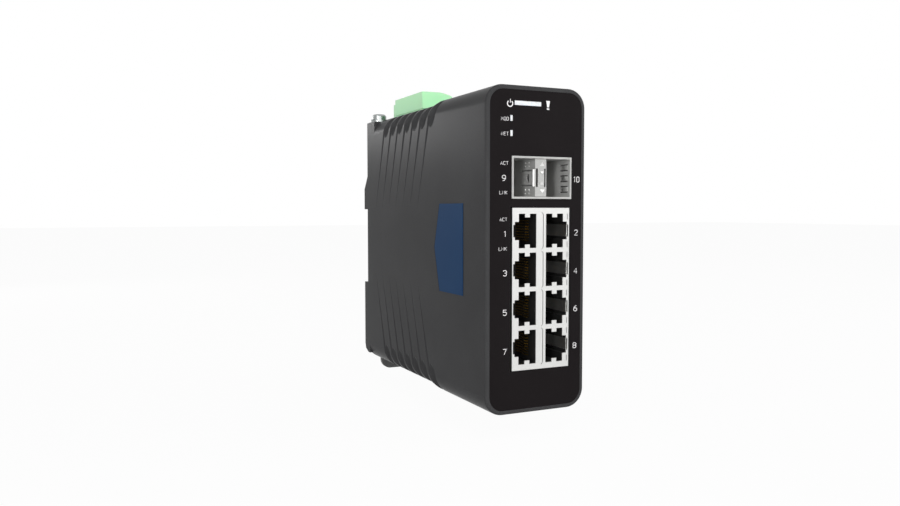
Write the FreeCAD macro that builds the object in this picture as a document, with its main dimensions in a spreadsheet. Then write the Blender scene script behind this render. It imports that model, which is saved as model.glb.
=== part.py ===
import FreeCAD, Part
import math
import operator
import os
from types import SimpleNamespace

import Sketcher
from FreeCAD import Placement, Rotation, Vector

# DIN rail ethernet switch with eight jacks, two pluggable-transceiver slots, a plug-in
# power connector on top and a sliding rail latch behind.
# Frame: the origin is the middle of the rail seat, +X to the right seen from the front,
# +Y to the rear (out of the rail seat), +Z up.

doc = FreeCAD.newDocument("rail_switch")

# ---------------------------------------------------------------------------------------
# Driving sizes, all in mm
# ---------------------------------------------------------------------------------------
SIZES = {
    # cast housing
    "housing_width": 41.4,
    "housing_height": 117.4,
    "housing_depth": 123.0,
    "rail_below_middle": 2.6,
    "wall": 2.4,
    "front_wall": 2.0,
    "edge_radius": 7.0,
    "inner_radius": 7.0,
    "rim_fillet": 1.0,
    "rear_drop": 1.1,
    "ramp_start": 46.5,
    "ramp_length": 7.0,
    # gill grooves in the rear of the housing
    "gill_first": 23.3,
    "gill_pitch": 8.38,
    "gill_count": 7,
    "gill_lean": 0.33,
    "gill_width": 2.1,
    "gill_depth": 0.9,
    "gill_fade": 11.0,
    "scoop_radius": 3.6,
    "scoop_forward": 3.0,
    "scoop_below": 3.0,
    "scoop_above": 6.6,
    "scoop_inset": 4.6,
    # front label and side badge
    "label_margin": 1.6,
    "label_recess": 0.35,
    "label_thickness": 0.3,
    "badge_thickness": 0.25,
    "badge_front": 17.8,
    "badge_length": 21.05,
    "badge_point": 4.8,
    "badge_height": 34.2,
    # rail seat, ears and hooks
    "rail_height": 35.0,
    "rail_play_above": 0.2,
    "rail_play_below": 0.4,
    "rail_flange_gap": 1.8,
    "ear_depth": 4.5,
    "top_ear_height": 9.7,
    "top_ear_slope": 6.2,
    "bottom_ear_height": 30.5,
    "ear_corner": 3.5,
    "cover_thickness": 2.5,
    "cover_gap": 0.15,
    "seat_rise": 0.5,
    "seat_inset": 0.4,
    "hook_lip": 2.0,
    "hook_overlap": 3.0,
    "hook_bridge": 4.5,
    "hook_inner": 5.0,
    "hook_width": 9.0,
    # rail latch, its keeper and spring
    "latch_thickness": 2.0,
    "latch_below": 6.2,
    "latch_corner": 4.5,
    "latch_travel": 4.0,
    "latch_gap": 0.3,
    "window_width": 5.2,
    "window_top_drop": 10.0,
    "peg_thickness": 2.0,
    "spring_length": 12.0,
    "spring_radius": 0.9,
    "spring_wire": 0.4,
    "spring_turns": 5,
    "peg_side_gap": 0.4,
    "peg_below_gap": 0.6,
    "slot_width": 6.4,
    "slot_height": 2.5,
    "slot_margin": 1.8,
    "keeper_sheet": 0.8,
    "keeper_height": 8.0,
    "keeper_foot": 3.3,
    "keeper_side_gap": 0.3,
    "keeper_clearance": 0.8,
    "keeper_screw_radius": 1.4,
    "keeper_screw_shank": 0.8,
    "keeper_screw_head": 1.3,
    "latch_hook_drop": 6.0,
    "latch_hook_inset": 3.0,
    "latch_hook_chamfer": 1.6,
    "hook_chamfer": 0.8,
    # ground screw pad
    "pad_length": 10.0,
    "pad_width": 8.85,
    "pad_drop": 1.0,
    "ground_from_rear": 5.0,
    "ground_from_side": 4.4,
    "ground_head_radius": 3.4,
    "ground_head_height": 2.6,
    "ground_shank_radius": 1.75,
    "ground_shank_length": 7.0,
    "flat_washer_radius": 4.4,
    "flat_washer_thickness": 0.8,
    "star_washer_radius": 3.9,
    "star_washer_thickness": 0.6,
    "star_tooth_count": 12,
    "star_notch_width": 0.9,
    "star_notch_depth": 1.1,
    "washer_bore_gap": 0.15,
    "cross_arm": 2.0,
    "cross_width": 0.9,
    "cross_depth": 1.3,
    # jack block: eight jacks, two columns and four rows
    "jack_centre_x": 1.93,
    "jack_drop": 13.81,
    "jack_width": 23.9,
    "jack_height": 58.4,
    "jack_depth": 25.4,
    "jack_pitch": 13.97,
    "jack_sheet": 0.5,
    "jack_panel_gap_x": 0.8,
    "jack_panel_gap_z": 0.25,
    "port_inner_x": 2.05,
    "port_outer_x": 9.3,
    "port_step_x": 10.93,
    "port_slot_x": 11.55,
    "port_half_height": 6.16,
    "port_step_half": 3.25,
    "port_slot_half": 2.2,
    "port_depth": 14.0,
    "finger_near_x": 4.72,
    "finger_far_x": 6.75,
    "finger_reach": 1.3,
    "fold_x": 0.76,
    "fold_bend_x": 0.12,
    "fold_half": 5.9,
    "fold_bend": 0.8,
    "fold_slit": 0.25,
    "corner_fold_x": 11.03,
    "jack_rows": 4,
    "contact_count": 8,
    "contact_pitch": 1.02,
    "contact_width": 0.42,
    "contact_rise": 1.5,
    "contact_thickness": 0.3,
    "contact_inset": 0.25,
    "contact_straight": 4.5,
    "contact_run": 5.0,
    "contact_tip": 1.5,
    "contact_return": 0.6,
    # transceiver cage: two slots side by side with a divider between them
    "cage_width": 24.25,
    "cage_height": 14.4,
    "cage_depth": 48.0,
    "cage_rise": 26.2,
    "cage_sheet": 0.35,
    "cage_flange": 0.35,
    "cage_flange_thickness": 0.3,
    "cage_panel_gap": 0.2,
    "slot_left_width": 9.1,
    "slot_right_width": 8.8,
    "tongue_width": 5.4,
    "tongue_length": 7.8,
    "tongue_start": 2.4,
    "tongue_cut": 0.35,
    "divider_bar_width": 2.56,
    "divider_bar_inset": 1.2,
    "divider_window_half": 3.3,
    "divider_step_width": 1.16,
    "divider_step": 1.5,
    "divider_inset": 0.2,
    "divider_gap": 0.1,
    "divider_rear_gap": 0.6,
    "tongue_hole_place": 4.6,
    "tongue_hole_radius": 1.6,
    "spring_cut_count": 3,
    "spring_cut_pitch": 3.95,
    "spring_cut_start": 1.2,
    "spring_cut_length": 5.2,
    "spring_cut_cross": 4.9,
    "spring_cut_height": 2.1,
    "spring_cut_slit": 0.35,
    "nose_width": 4.4,
    "nose_length": 7.0,
    "nose_height": 11.2,
    "nose_mouth_width": 1.4,
    "nose_mouth_depth": 4.0,
    "nose_mouth_height": 9.8,
    "connector_depth": 6.0,
    "connector_height": 11.8,
    # circuit board and what is on it
    "board_thickness": 1.6,
    "board_gap": 1.4,
    "board_rear_gap": 3.5,
    "board_margin": 2.8,
    "board_hole_gap": 0.1,
    "board_screw_from_front": 13.0,
    "board_screw_from_rear": 13.5,
    "board_screw_front_rise": 44.5,
    "board_screw_rear_rise": 36.0,
    "board_screw_fall": 48.5,
    "board_screw_short": 0.3,
    "board_screw_radius": 1.5,
    "board_head_radius": 2.8,
    "board_head_height": 2.1,
    "boss_radius": 3.4,
    "post_radius": 3.2,
    "post_length": 11.5,
    "post_from_side": 5.3,
    "post_from_top": 16.5,
    "post_from_bottom": 13.0,
    "cover_screw_radius": 1.5,
    "cover_head_radius": 2.8,
    "cover_screw_length": 10.0,
    "cover_cross_arm": 1.5,
    "cover_cross_width": 0.7,
    "cover_cross_depth": 0.8,
    "screw_gap": 0.05,
    "bore_runout": 0.5,
    "chip_size": 23.0,
    "chip_height": 2.3,
    "heat_pad_thickness": 1.0,
    "chip_from_rear": 62.0,
    "chip_rise": 2.0,
    "chip_boss_margin": 1.0,
    "can_radius": 4.0,
    "can_length": 12.5,
    "can_count": 2,
    "can_pitch": 10.0,
    "can_from_rear": 28.0,
    "can_rise": 31.0,
    # indicators in the front wall
    "status_left": 9.23,
    "status_length": 10.96,
    "status_height": 1.6,
    "status_drop": 6.3,
    "lamp_width": 0.98,
    "lamp_height": 2.1,
    "lamp_right": 9.97,
    "mod_drop": 5.43,
    "net_drop": 5.27,
    "window_gap": 0.05,
    "pipe_flange": 0.5,
    "pipe_flange_thickness": 1.0,
    "led_height": 1.4,
    "led_depth": 2.6,
    "led_width": 1.8,
    "led_gap": 0.2,
    # power connector on the top
    "pole_count": 6,
    "pole_pitch": 5.08,
    "header_end": 2.1,
    "header_from_rear": 8.1,
    "header_width": 14.6,
    "header_wall": 1.5,
    "header_rise": 1.8,
    "header_height": 15.0,
    "header_floor": 3.0,
    "header_flange_rise": 7.3,
    "header_flange": 2.0,
    "header_panel_gap": 0.5,
    "plug_height": 7.4,
    "plug_gap": 0.2,
    "plug_nose_gap": 0.3,
    "plug_nose_length": 10.4,
    "pin_size": 1.0,
    "pin_gap": 0.05,
    "pin_socket_gap": 0.35,
    "pin_height": 9.0,
    "wire_hole": 3.6,
    "clamp_screw_radius": 1.3,
    "clamp_head_radius": 1.7,
    "clamp_hole_radius": 1.9,
    "clamp_wall": 0.7,
    "clamp_gap": 0.1,
    "clamp_drop": 0.5,
    "clamp_head_gap": 0.1,
    "clamp_head_sink": 0.8,
    "clamp_shank_in": 1.6,
    "clamp_shank_out": 0.6,
    "clamp_slit_width": 0.5,
    "clamp_slit_depth": 0.6,
    "chamber_wall": 0.4,
    "chamber_inner": 0.3,
    "chamber_floor": 0.6,
    "chamber_roof": 1.6,
    "plug_bevel_low": 1.6,
    "plug_bevel_middle": 0.9,
    "plug_bevel_side": 1.5,
    "plug_bevel_run": 5.7,
    "pin_tail": 1.2,
}

# components soldered on the board's right face: how far the middle lies behind the jack
# block (for the power parts: before the rail seat; for the memory chip: how far its edge
# lies behind the processor) and over the housing's mid-height, then the length along the
# board, the height up it and the thickness
COMPONENTS = {
    "port_transformer": (9.0, 0.0, 10.0, 12.5, 6.0),
    "processor_chip": (28.0, -7.81, 17.0, 17.0, 1.6),
    "memory_chip": (2.0, -4.81, 9.0, 13.0, 1.2),
    "flash_chip": (28.0, -25.81, 6.0, 5.0, 1.8),
    "clock_crystal": (28.0, -34.81, 5.0, 3.2, 1.2),
    "power_inductor": (30.0, 12.0, 12.5, 12.5, 7.5),
    "power_transformer": (26.0, -14.0, 18.0, 16.0, 12.0),
}
for component, row in COMPONENTS.items():
    for column, value in zip(("along", "rise", "length", "height", "thickness"), row):
        SIZES[f"{component}_{column}"] = value

sheet = doc.addObject("Spreadsheet::Sheet", "sizes")
for row, (alias, value) in enumerate(SIZES.items(), start=1):
    sheet.set(f"A{row}", alias.replace("_", " "))
    sheet.set(f"B{row}", str(value))
    sheet.setAlias(f"B{row}", alias)
doc.recompute()


class Length:
    """A size in mm with the sheet formula that gives it, so that sums of sizes stay bound."""

    def __init__(self, value, formula):
        self.value = value
        self.formula = formula

    def join(self, sign, work, other, turned=False):
        first, second = self, length(other)
        if turned:
            first, second = second, first
        value = work(first.value, second.value)
        return Length(value, f"({first.formula} {sign} {second.formula})")

    def __add__(self, other):
        return self.join("+", operator.add, other)

    def __radd__(self, other):
        return self.join("+", operator.add, other, turned=True)

    def __sub__(self, other):
        return self.join("-", operator.sub, other)

    def __rsub__(self, other):
        return self.join("-", operator.sub, other, turned=True)

    def __mul__(self, other):
        return self.join("*", operator.mul, other)

    def __rmul__(self, other):
        return self.join("*", operator.mul, other, turned=True)

    def __truediv__(self, other):
        return self.join("/", operator.truediv, other)

    def __neg__(self):
        return 0 - self


def length(quantity):
    """A plain number, such as a zero or a half, as a Length."""
    if isinstance(quantity, Length):
        return quantity
    return Length(float(quantity), f"({float(quantity)})")


s = SimpleNamespace(**{
    alias: Length(float(value), f"sizes.{alias}") for alias, value in SIZES.items()
})

# ---------------------------------------------------------------------------------------
# Planes and places shared by several pieces
# ---------------------------------------------------------------------------------------
half_width = s.housing_width / 2
middle = s.rail_below_middle
half_height = s.housing_height / 2
rear_half_height = half_height - s.rear_drop
front = -s.housing_depth
wall_back = front + s.front_wall
inner_x = half_width - s.wall
inner_half_height = rear_half_height - s.wall
slot_top = s.rail_height / 2 + s.rail_play_above
slot_bottom = -s.rail_height / 2 - s.rail_play_below
label_face = front + s.label_recess
label_front = label_face - s.label_thickness
cover_back = -s.seat_rise
cover_front = cover_back - s.cover_thickness
cover_inside = cover_back - s.cover_thickness / 2

jack_z = middle - s.jack_drop
jack_half_width = s.jack_width / 2
jack_half_height = s.jack_height / 2
board_right = s.jack_centre_x - jack_half_width
board_left = board_right - s.board_thickness
board_front = wall_back + s.board_gap
board_rear = cover_front - s.board_rear_gap
board_top = middle + inner_half_height - s.board_margin
board_bottom = middle - inner_half_height + s.board_margin

cage_left = board_right
cage_right = cage_left + s.cage_width
cage_z = middle + s.cage_rise
cage_half_height = s.cage_height / 2
slot_left_low = cage_left + s.cage_sheet
slot_left_high = slot_left_low + s.slot_left_width
slot_right_high = cage_right - s.cage_sheet
slot_right_low = slot_right_high - s.slot_right_width

housing_top = middle + rear_half_height
header_left = board_right
header_right = header_left + s.header_width
header_rear = -s.header_from_rear
header_front = header_rear - s.pole_count * s.pole_pitch - 2 * s.header_end
header_top = housing_top + s.header_rise
header_bottom = header_top - s.header_height
plug_rear = header_rear - s.header_flange
plug_bottom = header_top + s.plug_gap
plug_top = plug_bottom + s.plug_height

latch_front = s.latch_gap
latch_back = latch_front + s.latch_thickness
latch_half = inner_x - s.keeper_side_gap - s.keeper_foot - s.keeper_sheet - s.latch_gap
latch_bottom = middle - rear_half_height - s.latch_below
window_top = slot_bottom - s.window_top_drop
peg_top = window_top - s.spring_length

pad_top = housing_top - s.pad_drop
ground_x = -half_width + s.ground_from_side
ground_y = -s.ground_from_rear

SCREW_CORNERS = [(side, level) for side in (-1, 1) for level in (-1, 1)]
BOARD_SCREWS = [
    (front + s.board_screw_from_front, middle + s.board_screw_front_rise),
    (front + s.board_screw_from_front, middle - s.board_screw_fall),
    (-s.board_screw_from_rear, middle + s.board_screw_rear_rise),
    (-s.board_screw_from_rear, middle - s.board_screw_fall),
]

# ---------------------------------------------------------------------------------------
# Ways of making a piece, each bound to the sheet
# ---------------------------------------------------------------------------------------
# for each axis: its direction, the turn that brings +Z onto it, the turn of a sketch plane
# across it, and the two axes that the sketch's own x and y run along
AXES = {
    "x": (Vector(1, 0, 0), Rotation(Vector(0, 1, 0), 90), Rotation(Vector(1, 1, 1), 120), "yz"),
    "y": (Vector(0, 1, 0), Rotation(Vector(1, 0, 0), -90), Rotation(Vector(1, 0, 0), 90), "xz"),
    "z": (Vector(0, 0, 1), Rotation(), Rotation(), "xy"),
}
nodes = []


def bind(item, path, size):
    item.setExpression(path, length(size).formula)


def bind_place(item, turn, place):
    """Turn the item and tie its position, given as axis letters and lengths, to the sheet."""
    item.Placement = Placement(Vector(), turn)
    for axis, size in place.items():
        bind(item, f"Placement.Base.{axis}", size)


def box(name, x, y, z):
    """A block between the low and high lengths given for each axis."""
    piece = doc.addObject("Part::Box", name)
    for side, (low, high) in zip(("Length", "Width", "Height"), (x, y, z)):
        bind(piece, side, length(high) - low)
    bind_place(piece, Rotation(), {"x": x[0], "y": y[0], "z": z[0]})
    return piece


def cylinder(name, axis, low, high, centre, radius):
    """A round bar along an axis from low to high, centred on the other two coordinates."""
    piece = doc.addObject("Part::Cylinder", name)
    bind(piece, "Radius", radius)
    bind(piece, "Height", length(high) - low)
    others = AXES[axis][3]
    bind_place(piece, AXES[axis][1], {axis: low, others[0]: centre[0], others[1]: centre[1]})
    return piece


def cone(name, axis, low, high, centre, low_radius, high_radius):
    """As cylinder, with a radius at each end."""
    piece = doc.addObject("Part::Cone", name)
    bind(piece, "Radius1", low_radius)
    bind(piece, "Radius2", high_radius)
    bind(piece, "Height", length(high) - low)
    others = AXES[axis][3]
    bind_place(piece, AXES[axis][1], {axis: low, others[0]: centre[0], others[1]: centre[1]})
    return piece


def draw_polygon(sketch, points):
    """A closed outline whose corners are each held by two sheet-bound distances."""
    points = [(length(u), length(v)) for u, v in points]
    spots = [Vector(u.value, v.value, 0) for u, v in points]
    count = len(points)
    edges = [
        sketch.addGeometry(Part.LineSegment(spots[i], spots[(i + 1) % count]))
        for i in range(count)
    ]
    for i in range(count):
        sketch.addConstraint(Sketcher.Constraint("Coincident", edges[i], 2, edges[(i + 1) % count], 1))
    for edge, (u, v) in zip(edges, points):
        for kind, size in (("DistanceX", u), ("DistanceY", v)):
            index = sketch.addConstraint(Sketcher.Constraint(kind, -1, 1, edge, 1, size.value))
            bind(sketch, f"Constraints[{index}]", size)


def draw_rounded(sketch, u, v, radius):
    """A rectangle between the u and v lengths with equal tangent corner arcs."""
    u0, u1 = length(u[0]), length(u[1])
    v0, v1 = length(v[0]), length(v[1])
    radius = length(radius)
    a, b, c, d, r = u0.value, u1.value, v0.value, v1.value, radius.value
    sides = [
        ((a + r, c), (b - r, c)), ((b, c + r), (b, d - r)),
        ((b - r, d), (a + r, d)), ((a, d - r), (a, c + r)),
    ]
    centres = [(b - r, c + r), (b - r, d - r), (a + r, d - r), (a + r, c + r)]
    lines = []
    arcs = []
    for i, ((start, end), centre) in enumerate(zip(sides, centres)):
        lines.append(sketch.addGeometry(Part.LineSegment(Vector(*start), Vector(*end))))
        circle = Part.Circle(Vector(*centre), Vector(0, 0, 1), r)
        arcs.append(sketch.addGeometry(Part.ArcOfCircle(circle, (i - 1) * math.pi / 2, i * math.pi / 2)))
    for i in range(4):
        sketch.addConstraint(Sketcher.Constraint("Tangent", lines[i], 2, arcs[i], 1))
        sketch.addConstraint(Sketcher.Constraint("Tangent", arcs[i], 2, lines[(i + 1) % 4], 1))
        sketch.addConstraint(Sketcher.Constraint("Vertical" if i % 2 else "Horizontal", lines[i]))
    for arc in arcs[1:]:
        sketch.addConstraint(Sketcher.Constraint("Equal", arcs[0], arc))
    held = [
        (Sketcher.Constraint("Radius", arcs[0], r), radius),
        (Sketcher.Constraint("DistanceX", -1, 1, lines[3], 1, a), u0),
        (Sketcher.Constraint("DistanceX", -1, 1, lines[1], 1, b), u1),
        (Sketcher.Constraint("DistanceY", -1, 1, lines[0], 1, c), v0),
        (Sketcher.Constraint("DistanceY", -1, 1, lines[2], 1, d), v1),
    ]
    for constraint, size in held:
        bind(sketch, f"Constraints[{sketch.addConstraint(constraint)}]", size)


def extrude(name, axis, low, high, draw):
    """What draw puts on a sketch across the axis, carried from low to high."""
    sketch = doc.addObject("Sketcher::SketchObject", name + "_sketch")
    bind_place(sketch, AXES[axis][2], {axis: low})
    draw(sketch)
    piece = doc.addObject("Part::Extrusion", name)
    piece.Base = sketch
    piece.DirMode = "Custom"
    piece.Dir = AXES[axis][0]
    piece.Solid = True
    piece.FaceMakerClass = "Part::FaceMakerBullseye"
    bind(piece, "LengthFwd", length(high) - low)
    return piece


def prism(name, axis, low, high, *outlines):
    """A straight bar with one polygon outline and any further ones as holes."""
    def draw(sketch):
        for outline in outlines:
            draw_polygon(sketch, outline)
    return extrude(name, axis, low, high, draw)


def rounded_bar(name, axis, low, high, u, v, radius):
    return extrude(name, axis, low, high, lambda sketch: draw_rounded(sketch, u, v, radius))


def rectangle(u, v):
    return [(u[0], v[0]), (u[1], v[0]), (u[1], v[1]), (u[0], v[1])]


def fuse(name, *pieces):
    piece = doc.addObject("Part::MultiFuse", name)
    piece.Shapes = list(pieces)
    piece.Refine = True
    return piece


def cut(name, base, *tools):
    piece = doc.addObject("Part::Cut", name)
    piece.Base = base
    piece.Tool = tools[0] if len(tools) == 1 else fuse(name + "_tools", *tools)
    piece.Refine = True
    return piece


def gather(name, pieces):
    """Separate like solids held together as one sub-part."""
    group = doc.addObject("Part::Compound", name)
    group.Links = list(pieces)
    return group


def node(label, piece):
    """Name a finished sub-part, which is then checked and written."""
    piece.Label = label
    nodes.append(piece)
    return piece


def new_body(name, x=0, y=0, z=0):
    body = doc.addObject("PartDesign::Body", name)
    bind_place(body, Rotation(), {"x": x, "y": y, "z": z})
    return body


def body_sketch(body, name, axis, place):
    """A sketch across an axis of the body at a place along that axis."""
    role = {"x": "YZ_Plane", "y": "XZ_Plane", "z": "XY_Plane"}[axis]
    plane = [item for item in body.Origin.OriginFeatures if item.Role == role][0]
    sketch = body.newObject("Sketcher::SketchObject", name)
    sketch.AttachmentSupport = [(plane, "")]
    sketch.MapMode = "FlatFace"
    bind(sketch, "AttachmentOffset.Base.z", -length(place) if axis == "y" else place)
    return sketch


def pad(body, name, sketch, size, along=1):
    """Add the sketch's outline, along its normal or, with -1, against it."""
    feature = body.newObject("PartDesign::Pad", name)
    feature.Profile = sketch
    bind(feature, "Length", size)
    feature.Reversed = along < 0
    return feature


def pocket(body, name, sketch, size, along=-1):
    """Remove the sketch's outline, against its normal or, with 1, along it."""
    feature = body.newObject("PartDesign::Pocket", name)
    feature.Profile = sketch
    bind(feature, "Length", size)
    feature.Reversed = along > 0
    return feature


def round_edges(body, name, base, radius, wanted):
    """Fillet the edges of a body's last feature whose bounding boxes are wanted."""
    doc.recompute()
    edges = [f"Edge{i + 1}" for i, edge in enumerate(base.Shape.Edges) if wanted(edge.BoundBox)]
    fillet = body.newObject("PartDesign::Fillet", name)
    fillet.Base = (base, edges)
    bind(fillet, "Radius", radius)
    return fillet


def turned(name, axis, low, centre, profile):
    """A solid of revolution about an axis: profile gives radius and height above low."""
    sketch = doc.addObject("Sketcher::SketchObject", name + "_sketch")
    sketch.Placement = Placement(Vector(), AXES["y"][2])
    draw_polygon(sketch, profile)
    piece = doc.addObject("Part::Revolution", name)
    piece.Source = sketch
    piece.Axis = Vector(0, 0, 1)
    piece.Angle = 360
    piece.Solid = True
    others = AXES[axis][3]
    bind_place(piece, AXES[axis][1], {axis: low, others[0]: centre[0], others[1]: centre[1]})
    return piece


def pan_screw(name, axis, seat, centre, head_radius, head_height, shank_radius, shank_length):
    """A pan-head screw whose head stands on its seat and whose shank runs back below it."""
    profile = [
        (0, 0), (shank_radius, 0), (shank_radius, shank_length), (head_radius, shank_length),
        (head_radius, shank_length + head_height * 0.6),
        (head_radius * 0.8, shank_length + head_height * 0.92),
        (head_radius * 0.45, shank_length + head_height), (0, shank_length + head_height),
    ]
    return turned(name, axis, seat - shank_length, centre, profile)


# ---------------------------------------------------------------------------------------
# Housing: one casting, open at the rear, with gill grooves, rail ears and inner bosses
# ---------------------------------------------------------------------------------------
def housing_shell():
    """The outer block with its ramp to the lower rear part, hollowed from the rear."""
    body = new_body("housing_shell")
    full = ((-half_width, half_width), (middle - half_height, middle + half_height))
    low = ((-half_width, half_width), (middle - rear_half_height, middle + rear_half_height))
    outline = body_sketch(body, "front_outline", "y", front)
    draw_rounded(outline, *full, s.edge_radius)
    pad(body, "front_block", outline, s.ramp_start, along=-1)
    ramp_high = body_sketch(body, "ramp_high", "y", front + s.ramp_start)
    draw_rounded(ramp_high, *full, s.edge_radius)
    ramp_low = body_sketch(body, "ramp_low", "y", front + s.ramp_start + s.ramp_length)
    draw_rounded(ramp_low, *low, s.edge_radius)
    ramp = body.newObject("PartDesign::AdditiveLoft", "ramp")
    ramp.Profile = ramp_high
    ramp.Sections = [ramp_low]
    ramp.Ruled = True
    rear_outline = body_sketch(body, "rear_outline", "y", front + s.ramp_start + s.ramp_length)
    draw_rounded(rear_outline, *low, s.edge_radius)
    rear_length = s.housing_depth - s.ramp_start - s.ramp_length
    block = pad(body, "rear_block", rear_outline, rear_length, along=-1)
    round_edges(body, "rim_fillet", block, s.rim_fillet, lambda box: box.YMax < front.value + 0.01)
    inside = body_sketch(body, "inside", "y", 0)
    draw_rounded(
        inside, (-inner_x, inner_x), (middle - inner_half_height, middle + inner_half_height),
        s.inner_radius,
    )
    pocket(body, "hollow", inside, s.housing_depth - s.front_wall, along=1)
    label_seat = body_sketch(body, "label_seat", "y", front)
    draw_rounded(label_seat, *label_outline(0), s.edge_radius - s.label_margin)
    pocket(body, "label_recess", label_seat, s.label_recess, along=-1)
    return body


def label_outline(gap):
    """The label's rectangle on the front, drawn in by the gap."""
    margin = s.label_margin + gap
    return (
        (margin - half_width, half_width - margin),
        (middle - half_height + margin, middle + half_height - margin),
    )


def ears():
    """Both side walls run on behind the rail seat, above and below the rail."""
    slope_low = slot_top + s.top_ear_height
    top = [(-s.wall, slot_top), (s.ear_depth, slot_top), (s.ear_depth, slope_low),
           (0, slope_low + s.top_ear_slope), (-s.wall, slope_low + s.top_ear_slope)]
    foot = slot_bottom - s.bottom_ear_height
    bottom = [(-s.wall, slot_bottom), (s.ear_depth, slot_bottom), (s.ear_depth, foot),
              (s.ear_depth - s.ear_corner * 0.3, foot - s.ear_corner * 0.7),
              (s.ear_depth - s.ear_corner, foot - s.ear_corner), (0, foot - s.ear_corner - 0.4),
              (-s.wall, foot - s.ear_corner - 0.4)]
    pieces = []
    for side, low in (("left", -half_width), ("right", inner_x)):
        pieces.append(prism(f"top_ear_{side}", "x", low, low + s.wall, top))
        pieces.append(prism(f"bottom_ear_{side}", "x", low, low + s.wall, bottom))
    return pieces


def bosses():
    """Board bosses on the left wall, the chip's cooling boss and four cover posts."""
    pieces = []
    for i, (y, z) in enumerate(BOARD_SCREWS):
        pieces.append(cylinder(
            f"board_boss_{i}", "x", -inner_x - s.wall / 2, board_left, (y, z), s.boss_radius,
        ))
    chip_face = board_left - s.chip_height - s.heat_pad_thickness
    half = s.chip_size / 2 + s.chip_boss_margin
    pieces.append(box(
        "chip_boss", (-inner_x - s.wall / 2, chip_face),
        (-s.chip_from_rear - half, -s.chip_from_rear + half),
        (middle + s.chip_rise - half, middle + s.chip_rise + half),
    ))
    for i, (side, level) in enumerate(SCREW_CORNERS):
        pieces.append(cylinder(
            f"cover_post_{i}", "y", cover_front - s.post_length, cover_front, cover_screw_place(side, level),
            s.post_radius,
        ))
    return pieces


def cover_screw_place(side, level):
    """X and Z of a cover screw: side is -1 left or 1 right, level -1 bottom or 1 top."""
    top, bottom = housing_top - s.post_from_top, middle - rear_half_height + s.post_from_bottom
    return side * (half_width - s.post_from_side), top if level > 0 else bottom


def ground_pad(name, gap):
    """A square block that fills the rounded top left rear corner, grown by the gap inwards."""
    return box(
        name, (-half_width, -half_width + s.pad_width + gap), (-s.pad_length, 0),
        (housing_top - s.edge_radius - s.wall - gap, pad_top),
    )


def panel_openings(name, through):
    """Cut-outs through a front layer for the jacks, the cage and the three light windows."""
    jack_x = jack_half_width + s.jack_panel_gap_x
    jack_height = jack_half_height + s.jack_panel_gap_z
    cage_height = cage_half_height + s.cage_panel_gap
    pieces = [
        box(f"{name}_jack_opening", (s.jack_centre_x - jack_x, s.jack_centre_x + jack_x), through,
            (jack_z - jack_height, jack_z + jack_height)),
        box(f"{name}_cage_opening", (cage_left - s.cage_panel_gap, cage_right + s.cage_panel_gap),
            through, (cage_z - cage_height, cage_z + cage_height)),
    ]
    for window, x, z in light_windows(0):
        pieces.append(box(f"{name}_{window}_window", x, through, z))
    return pieces


def light_windows(gap):
    """Name, width and height ranges of the three light windows, drawn in by the gap."""
    bar = (-s.status_left + gap, s.status_length - s.status_left - gap)
    lamp = (-s.lamp_right - s.lamp_width + gap, -s.lamp_right - gap)
    half_bar = s.status_height / 2 - gap
    half_lamp = s.lamp_height / 2 - gap
    status = middle + half_height - s.status_drop
    mod = status - s.mod_drop
    net = mod - s.net_drop
    return [
        ("status", bar, (status - half_bar, status + half_bar)),
        ("mod", lamp, (mod - half_lamp, mod + half_lamp)),
        ("net", lamp, (net - half_lamp, net + half_lamp)),
    ]


def gill_cutter():
    """Leaning V grooves that fade towards mid-height, each with a scoop in the rounded edge."""
    width, lean = SIZES["gill_width"], SIZES["gill_lean"]
    half = half_width.value
    tangent = rear_half_height.value - SIZES["edge_radius"]
    reach = 2.0
    below, radius = SIZES["scoop_below"], SIZES["scoop_radius"]
    slant = Vector(SIZES["scoop_inset"], 0, below + SIZES["scoop_above"]).normalize()
    out = Vector(-slant.z, 0, slant.x)
    along = Vector(slant.x, -lean * slant.z, slant.z)
    run_out = 12.0
    cutters = []
    for i in range(int(SIZES["gill_count"])):
        start = -SIZES["gill_first"] - i * SIZES["gill_pitch"]
        top = Vector(-half, start - lean * reach, tangent + reach)
        tip = Vector(-half, start + lean * (tangent - SIZES["gill_fade"]), SIZES["gill_fade"])
        outside = Vector(-0.4, 0, 0)
        groove = tetrahedron(
            top + Vector(-0.4, -width * 0.75, 0), top + Vector(-0.4, width * 0.75, 0),
            top + Vector(SIZES["gill_depth"], 0, 0), tip + outside * 0.25,
        )
        foot = Vector(-half, start + lean * below - SIZES["scoop_forward"], tangent - below)
        line = foot + out * radius - along * run_out
        scoop = Part.makeCylinder(radius, 3 * run_out, line, along)
        cutters.append(groove.fuse(scoop))
    upper = Part.makeCompound(cutters)
    left = [upper, upper.mirror(Vector(), Vector(0, 0, 1))]
    every = left + [item.mirror(Vector(), Vector(1, 0, 0)) for item in left]
    piece = doc.addObject("Part::Feature", "gill_cutter")
    piece.Shape = Part.makeCompound(every)
    bind_place(piece, Rotation(), {"z": middle})
    return piece


def tetrahedron(*corners):
    faces = []
    for skip in range(4):
        a, b, c = [corner for i, corner in enumerate(corners) if i != skip]
        faces.append(Part.Face(Part.makePolygon([a, b, c, a])))
    solid = Part.Solid(Part.Shell(faces))
    solid.fixTolerance(1e-6)
    if solid.Volume < 0:
        solid.reverse()
    return solid


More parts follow.
